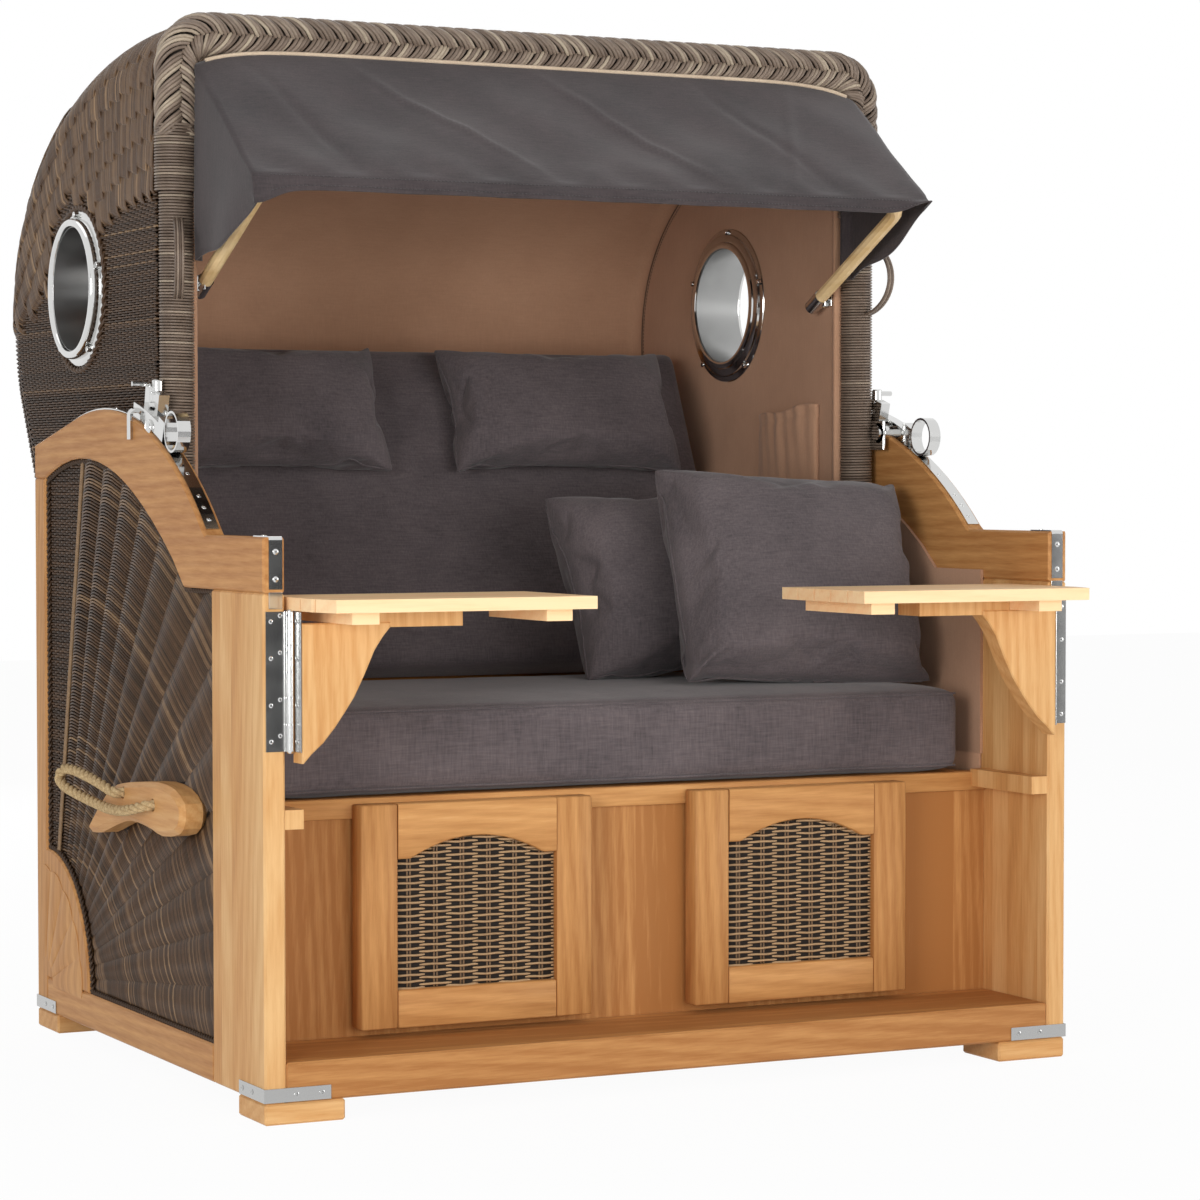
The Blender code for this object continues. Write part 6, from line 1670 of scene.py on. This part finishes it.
def side_borders():
    """Two strands twisted together along the edge of each side panel's opening."""
    ring = grow(side_outline(), -0.004)
    closed = np.vstack([ring, ring[:1]])
    _, length = along(closed, [0])
    steps, pitch, off = 900, 0.020, 0.0024
    path, _ = along(closed, np.linspace(0, length, steps, endpoint=False))
    tangent = np.roll(path, -1, 0) - np.roll(path, 1, 0)
    tangent /= np.linalg.norm(tangent, axis=1)[:, None]
    across = np.stack([tangent[:, 1], -tangent[:, 0]], 1)
    turn = np.arange(steps) / steps * 2 * PI * round(length / pitch)
    for side_name, side in SIDES:
        strands, ways = [], []
        for k in range(2):
            c, s = np.cos(turn + k * PI), np.sin(turn + k * PI)
            spot = path + across * off * c[:, None]
            strands.append(np.stack([side * (SIDE_FACE + 0.0030 + off * s), spot[:, 0], spot[:, 1]], 1))
            ways.append(np.stack([side * s, across[:, 0] * c, across[:, 1] * c], 1))
        shape = facing_out(*sweep(np.array(strands), np.array(ways), disc(0.0026, 6), closed=True))
        tint = np.full(len(shape[0]), 0.26)
        make(f"side_border_{side_name}", *shape, "lower_box", RATTAN, tint=tint)


inner_piping()
lining_seams()
seat_rail()
side_borders()
pocket()
carved_fans()
stile_weave()


# Awning

CLOTH_HALF = 0.0015
AWNING_HALF = 0.572
AWNING_HEM = 0.021
HEM_ROWS = 6
AWNING_GAP = 0.0006
BAR_CLEAR = 0.011 + CLOTH_HALF + AWNING_GAP
# Creases of the panel: height, place across, slope and width, in the panel's own u and v
CREASES = ((0.0046, -0.62, 0.5, 0.018), (0.0052, -0.05, 0.45, 0.016), (-0.0036, 0.45, 0.3, 0.020),
           (0.0042, 0.78, -0.2, 0.017), (-0.0036, -0.88, 0.2, 0.018))


def awning_rows(rows, columns):
    """The awning's top panel and hem as a grid of points, front edge last.

    With u across from -1 to 1 and v from the plait to the bow, the panel lies on the straight
    line that touches the bow, less a sag sin(pi v) (1 - u^2), plus sines and the creases,
    which are bell curves across a sloping line.
    """
    reach = (PLAIT_RADIUS + CLOTH_HALF + AWNING_GAP) * math.sin(PI / 4)
    top = np.array([RIM_Y - reach, RIM_TOP - reach])
    to_bar = np.array([BOW_FRONT_Y, BOW_FRONT_Z]) - top
    lean = math.atan2(to_bar[1], to_bar[0]) - math.asin(BAR_CLEAR / np.linalg.norm(to_bar))
    length = math.sqrt(to_bar @ to_bar - BAR_CLEAR**2) + 0.012
    u = np.linspace(-1, 1, columns)[None, :]
    v = np.linspace(0, 1, rows)[:, None]
    sag = 0.006 * np.sin(PI * np.minimum(1, v / 0.85)) * (1 - u**2)
    drop = 0.024 * np.abs(u) ** 10 * (1 - v)
    ripple = (0.0038 * np.sin(u * 7 + 6 * v) + 0.0020 * np.sin(u * 19 - 9 * v + 1)
              + 0.0010 * np.sin(u * 41 + 15 * v))
    for height, place, slope, width in CREASES:
        ripple = ripple + height * np.exp(-((u - place - slope * v) / width) ** 2)
    ripple = ripple * np.sin(v * PI)
    pull = 0.0030 * np.exp(-((v - 0.9) / 0.10) ** 2) * np.sin(u * 31 + 2)
    y = top[0] + math.cos(lean) * length * v + 0 * u
    z = top[1] + math.sin(lean) * length * v - sag - drop + ripple + pull * (v < 0.97)
    main = np.stack([np.broadcast_to(u * AWNING_HALF, y.shape), y, z], -1)
    wave = 0.005 * (np.cos(PI * 7 * u[0]) - 1)
    share = np.linspace(0, 1, HEM_ROWS + 1)[1:, None]
    hem = np.repeat(main[-1:], HEM_ROWS, 0)
    taper = 1 - np.exp(-((1 - u) / 0.07) ** 2)
    droop = 0.022 * np.exp(-((1 + u) / 0.075) ** 2)
    hem[..., 1] += wave[None] * share - 0.002 * np.sin(share * PI)
    hem[..., 2] -= (AWNING_HEM * taper + droop) * share
    return np.concatenate([main, hem])


def awning_sheet():
    """The whole awning: top panel, hem and a hanging flap at each end, as one cloth.

    A flap's point runs from the panel's sloping edge to a sagging lower line between the rear
    corner and the hem, and swells outwards by sin(pi w), w being its share of the way. Its rear
    edge is tucked in round the front of the side tube.
    """
    main = awning_rows(44, 161)
    rows = len(main)
    length, tuck_rows, tuck_depth = 0.294, 4, 0.0150
    pieces = []
    for column, side in ((0, -1), (-1, 1)):
        edge = main[:, column]
        rear = edge[0] - [0, 0, length]
        share = np.linspace(0, 1, rows)[:, None]
        s = share[:, 0]
        lower = rear + (edge[-1] - rear) * share
        lower[:, 2] += 0.006 * np.sin(s * PI * 3) * (1 - s) - 0.014 * np.sin(s * PI)
        w = np.linspace(0, 1, 26)[None, :, None]
        down = w[..., 0]
        flap = edge[:, None] + (lower - edge)[:, None] * w
        swell = np.sin(PI * down) * np.sin(share * PI) * 0.004 + 0.003 * np.sin(share * 9 + 3 * down) * down
        flap[..., 0] += side * swell
        tuck = np.linspace(1, 0, tuck_rows + 1)[:-1, None, None] * np.minimum(1, w / 0.12)
        back = flap[:1] + tuck * np.array([-side * tuck_depth, tuck_depth, 0.0])
        pieces.append(np.concatenate([back, flap])[:, 1:])
    left, right = pieces
    middle = np.concatenate([np.repeat(main[:1], tuck_rows, 0), main])
    return np.concatenate([left[:, ::-1], middle, right], 1), main


def over_bow(piece):
    """Bake a piece's place into its mesh."""
    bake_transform(piece)


def awning_seams(main):
    """Rows of stitches beside the side seams and above and in the hem."""
    rows = len(main)
    lines = [main[: rows - HEM_ROWS, column] + [0, -0.0017, -0.0005] for column in (2, 4, -3, -5)]
    lines += [main[row, 3:-3] + [0, -0.0019, 0.0] for row in (rows - 7, rows - 3)]
    points, faces = merge(*[stitched(line, 0.0062, 0.0042, 0.0006, (0.0, -0.8, 0.6)) for line in lines])
    over_bow(make("awning_stitches", points, faces, None, THREAD))


def awning_edge(main):
    """A pale welt along the awning's upper edge, under the plait."""
    line = main[0, 2:-2] + [0, -0.0040, 0.0008]
    points, faces = facing_out(*sweep(line[None], np.array([0.0, -0.7, 0.7]), disc(0.0030, 8)))
    make("awning_welt", points, faces, "hood", PIPING)


def make_awning():
    """The awning's cloth with its seams and its upper edge."""
    whole, main = awning_sheet()
    faces = grid(*whole.shape[:2])[:, ::-1]
    piece = make("awning_cloth", whole.reshape(-1, 3), faces, None, SHADED_AWNING_CLOTH)
    weld_mesh(piece.data)
    thicken(piece, 0.0026)
    over_bow(piece)
    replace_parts(piece, "awning")
    awning_seams(main)
    awning_edge(main)


make_awning()


# Cushions

BACK_LEAN = math.radians(25)


def cushion(node, body, shape, pressure, cap, slack):
    """A padded piece in the place of its CAD solid, blown up as cloth from a slightly smaller start.

    No point moves further than the cap from where it starts, and the slack in the cloth, which
    is a share of its size, settles into folds along the seams.
    """
    points, faces = shape
    mesh = mesh_of(f"{node}_cover", points, faces)
    piece = bpy.data.objects.new(mesh.name, mesh)
    bpy.context.scene.collection.objects.link(piece)
    weld_mesh(mesh, 0.0001)
    inflate(piece, pressure, cap, slack)
    piece.data.shade_smooth()
    piece.data.materials.clear()
    piece.data.materials.append(CHARCOAL)
    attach(piece, body)
    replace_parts(piece, node)
    return piece


def cover_points(piece):
    """A piece's points as an array, in the model's frame."""
    points = np.empty(len(piece.data.vertices) * 3)
    piece.data.vertices.foreach_get("co", points)
    return points.reshape(-1, 3)


def place_of(node):
    """A CAD solid's middle, its three own axes from longest to shortest, and its half sizes."""
    points = cover_points(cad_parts[node])
    points[:, 1] += SETBACK
    middle = (points.max(0) + points.min(0)) / 2
    _, _, axes = np.linalg.svd(points - points.mean(0), full_matrices=False)
    for k in range(3):
        axes[k] *= np.sign(axes[k][np.argmax(np.abs(axes[k]))])
    along_axes = (points - middle) @ axes.T
    middle = middle + (along_axes.max(0) + along_axes.min(0)) / 2 @ axes
    half = (along_axes.max(0) - along_axes.min(0)) / 2
    if np.linalg.det(axes) < 0:
        axes[2] *= -1
    return middle, axes, half


def pillow_shape(node, cells, pull, swell):
    """Two faces of cloth joined at a knife edge, with pointed corners.

    With u and v from -1 to 1, a side is drawn in by pull (1 - v^2), or let out where pull is
    below 0, and the face stands ((1 - u^2)(1 - v^2))^swell of half the thickness off the
    middle plane. The cells are narrower near the sides.
    """
    middle, axes, half = place_of(node)
    quarter = PI / 2 * 0.86
    share = np.sin(np.linspace(-1, 1, cells + 1) * quarter) / math.sin(quarter)
    u, v = np.meshgrid(share, share, indexing="ij")
    x = half[0] * u * (1 - pull * (1 - v**2) * np.abs(u))
    y = half[1] * v * (1 - pull * (1 - u**2) * np.abs(v))
    rise = half[2] * np.clip((1 - u**2) * (1 - v**2), 0, 1) ** swell
    flat = middle + x[..., None] * axes[0] + y[..., None] * axes[1]
    points = np.concatenate([(flat + way * rise[..., None] * axes[2]).reshape(-1, 3) for way in (1, -1)])
    faces = grid(cells + 1, cells + 1)
    return facing_out(points, np.concatenate([faces, faces[:, ::-1] + (cells + 1) ** 2]))


def boxed_shape(node, half, pitch, rounding, crown, axes):
    """A boxed cushion: a box with rounded edges whose two large faces are crowned.

    A point of the box surface is drawn back to the inner box and pushed out again by the
    rounding radius, and a face rises by crown ((1 - u^2)(1 - v^2))^0.6.
    """
    middle = place_of(node)[0]
    half = np.array(half, float)
    sheets, groups, start = [], [], 0
    for axis in range(3):
        a, b = (axis + 1) % 3, (axis + 2) % 3
        cells = [max(2, int(round(2 * half[k] / pitch))) for k in (a, b)]
        u, v = np.meshgrid(np.linspace(-1, 1, cells[0] + 1), np.linspace(-1, 1, cells[1] + 1), indexing="ij")
        for way in (-1, 1):
            spot = np.zeros(u.shape + (3,))
            spot[..., a], spot[..., b], spot[..., axis] = u * half[a], v * half[b], way * half[axis]
            sheets.append(spot.reshape(-1, 3))
            faces = grid(*u.shape)
            groups.append((faces if way > 0 else faces[:, ::-1]) + start)
            start += u.size
    spot = np.concatenate(sheets)
    core = np.clip(spot, -(half - rounding), half - rounding)
    out = spot - core
    spot = core + out / np.linalg.norm(out, axis=1)[:, None] * rounding
    u, v = spot[:, 0] / half[0], spot[:, 1] / half[1]
    on_face = np.abs(spot[:, 2]) > half[2] - rounding
    spot[:, 2] += np.sign(spot[:, 2]) * crown * np.clip((1 - u**2) * (1 - v**2), 0, 1) ** 0.6 * on_face
    return facing_out(middle + spot @ axes, np.concatenate(groups))


def applied(piece):
    """Work out the piece's modifiers and make the result its mesh."""
    graph = bpy.context.evaluated_depsgraph_get()
    mesh = bpy.data.meshes.new_from_object(piece.evaluated_get(graph))
    piece.modifiers.clear()
    piece.data = mesh


def inflate(piece, pressure, cap, slack):
    """Blow a cover up as cloth for 20 steps, hold each point within the cap, and refine it."""
    start = cover_points(piece)
    last_step = 20
    cloth_step = piece.modifiers.new("cloth", "CLOTH")
    settings = cloth_step.settings
    settings.quality = 5
    settings.mass = 0.3
    settings.tension_stiffness = settings.compression_stiffness = 15
    settings.shear_stiffness = 8
    settings.bending_stiffness = 0.4
    settings.use_pressure = True
    settings.uniform_pressure_force = pressure
    settings.shrink_min = -slack
    settings.effector_weights.gravity = 0
    cloth_step.collision_settings.use_collision = False
    cache = cloth_step.point_cache
    cache.frame_start, cache.frame_end = 1, last_step
    scene = bpy.context.scene
    for step in range(1, last_step + 1):
        scene.frame_set(step)
    applied(piece)
    scene.frame_set(1)
    points = cover_points(piece)
    move = points - start
    length = np.linalg.norm(move, axis=1)[:, None]
    points = start + move * np.minimum(1, cap / np.maximum(length, 1e-9))
    piece.data.vertices.foreach_set("co", points.ravel())
    piece.data.update()
    finer = piece.modifiers.new("finer", "SUBSURF")
    finer.levels = finer.render_levels = 1


def furthest(piece, axis, places, band, ways):
    """For each place along one axis, the cover's point within the band that reaches furthest."""
    points = cover_points(piece)
    points[:, 1] += SETBACK
    path = []
    for place in places:
        near = points[np.abs(points[:, axis] - place) < band]
        path.append(near[np.argmax(near @ np.array(ways, float))])
    path = np.array(path)
    path[:, axis] = places
    return eased(path, 2)


def rim_of(piece, count=140):
    """The knife edge of a pillow: the points furthest from its middle, direction by direction."""
    points = cover_points(piece)
    points[:, 1] += SETBACK
    flat = points - (points.max(0) + points.min(0)) / 2
    _, _, axes = np.linalg.svd(flat[::7], full_matrices=False)
    u, v = flat @ axes[0], flat @ axes[1]
    turn = np.arctan2(v, u)
    bins = np.floor((turn + PI) / (2 * PI) * count).astype(int) % count
    reach = np.hypot(u, v)
    order = np.lexsort((reach, bins))
    last = np.searchsorted(bins[order], np.arange(count), side="right") - 1
    return eased(points[order[last]], 1, ring=True)


def welt(name, path, body, ring=False, radius=0.0017):
    """A seam's rolled edge along a path."""
    up = np.broadcast_to(np.array([0.11, 0.05, 1.0]), path.shape)
    points, faces = sweep(path[None], up[None], disc(radius, 7), closed=ring)
    return make(name, points, faces, body, CHARCOAL)


def make_cushions():
    """Two boxed cushions, two neck pillows and two square pillows, and their seams."""
    level = np.eye(3)
    sine, cosine = math.sin(BACK_LEAN), math.cos(BACK_LEAN)
    leaning = np.array([(1, 0, 0), (0, sine, cosine), (0, -cosine, sine)])
    seat = boxed_shape("seat_cushion", (0.586, 0.306, 0.061), 0.015, 0.016, 0.006, level)
    back = boxed_shape("back_cushion", (0.538, 0.303, 0.036), 0.015, 0.020, 0.010, leaning)
    seat_cover = cushion("seat_cushion", "lower_box", seat, 2.5, 0.008, 0.015)
    cushion("back_cushion", "hood", back, 2.5, 0.009, 0.015)
    pillows = []
    for stem, names, body, pull, swell, cap in (
            ("neck_pillow", ("left", "right"), "hood", -0.026, 0.40, 0.022),
            ("square_pillow", ("front", "rear"), "lower_box", -0.034, 0.38, 0.024)):
        for name in names:
            shape = pillow_shape(f"{stem}_{name}", 56, pull, swell)
            pillows.append((name, body, cushion(f"{stem}_{name}", body, shape, 4.0, cap, 0.024)))
    along_seat = np.linspace(-0.572, 0.572, 150)
    for name, up in (("upper", 0.9), ("lower", -0.9)):
        welt(f"seat_seam_{name}", furthest(seat_cover, 0, along_seat, 0.010, (0, -1, up)), "lower_box")
    for name, body, cover in pillows:
        welt(f"pillow_seam_{name}", rim_of(cover), body, ring=True, radius=0.0014)


make_cushions()
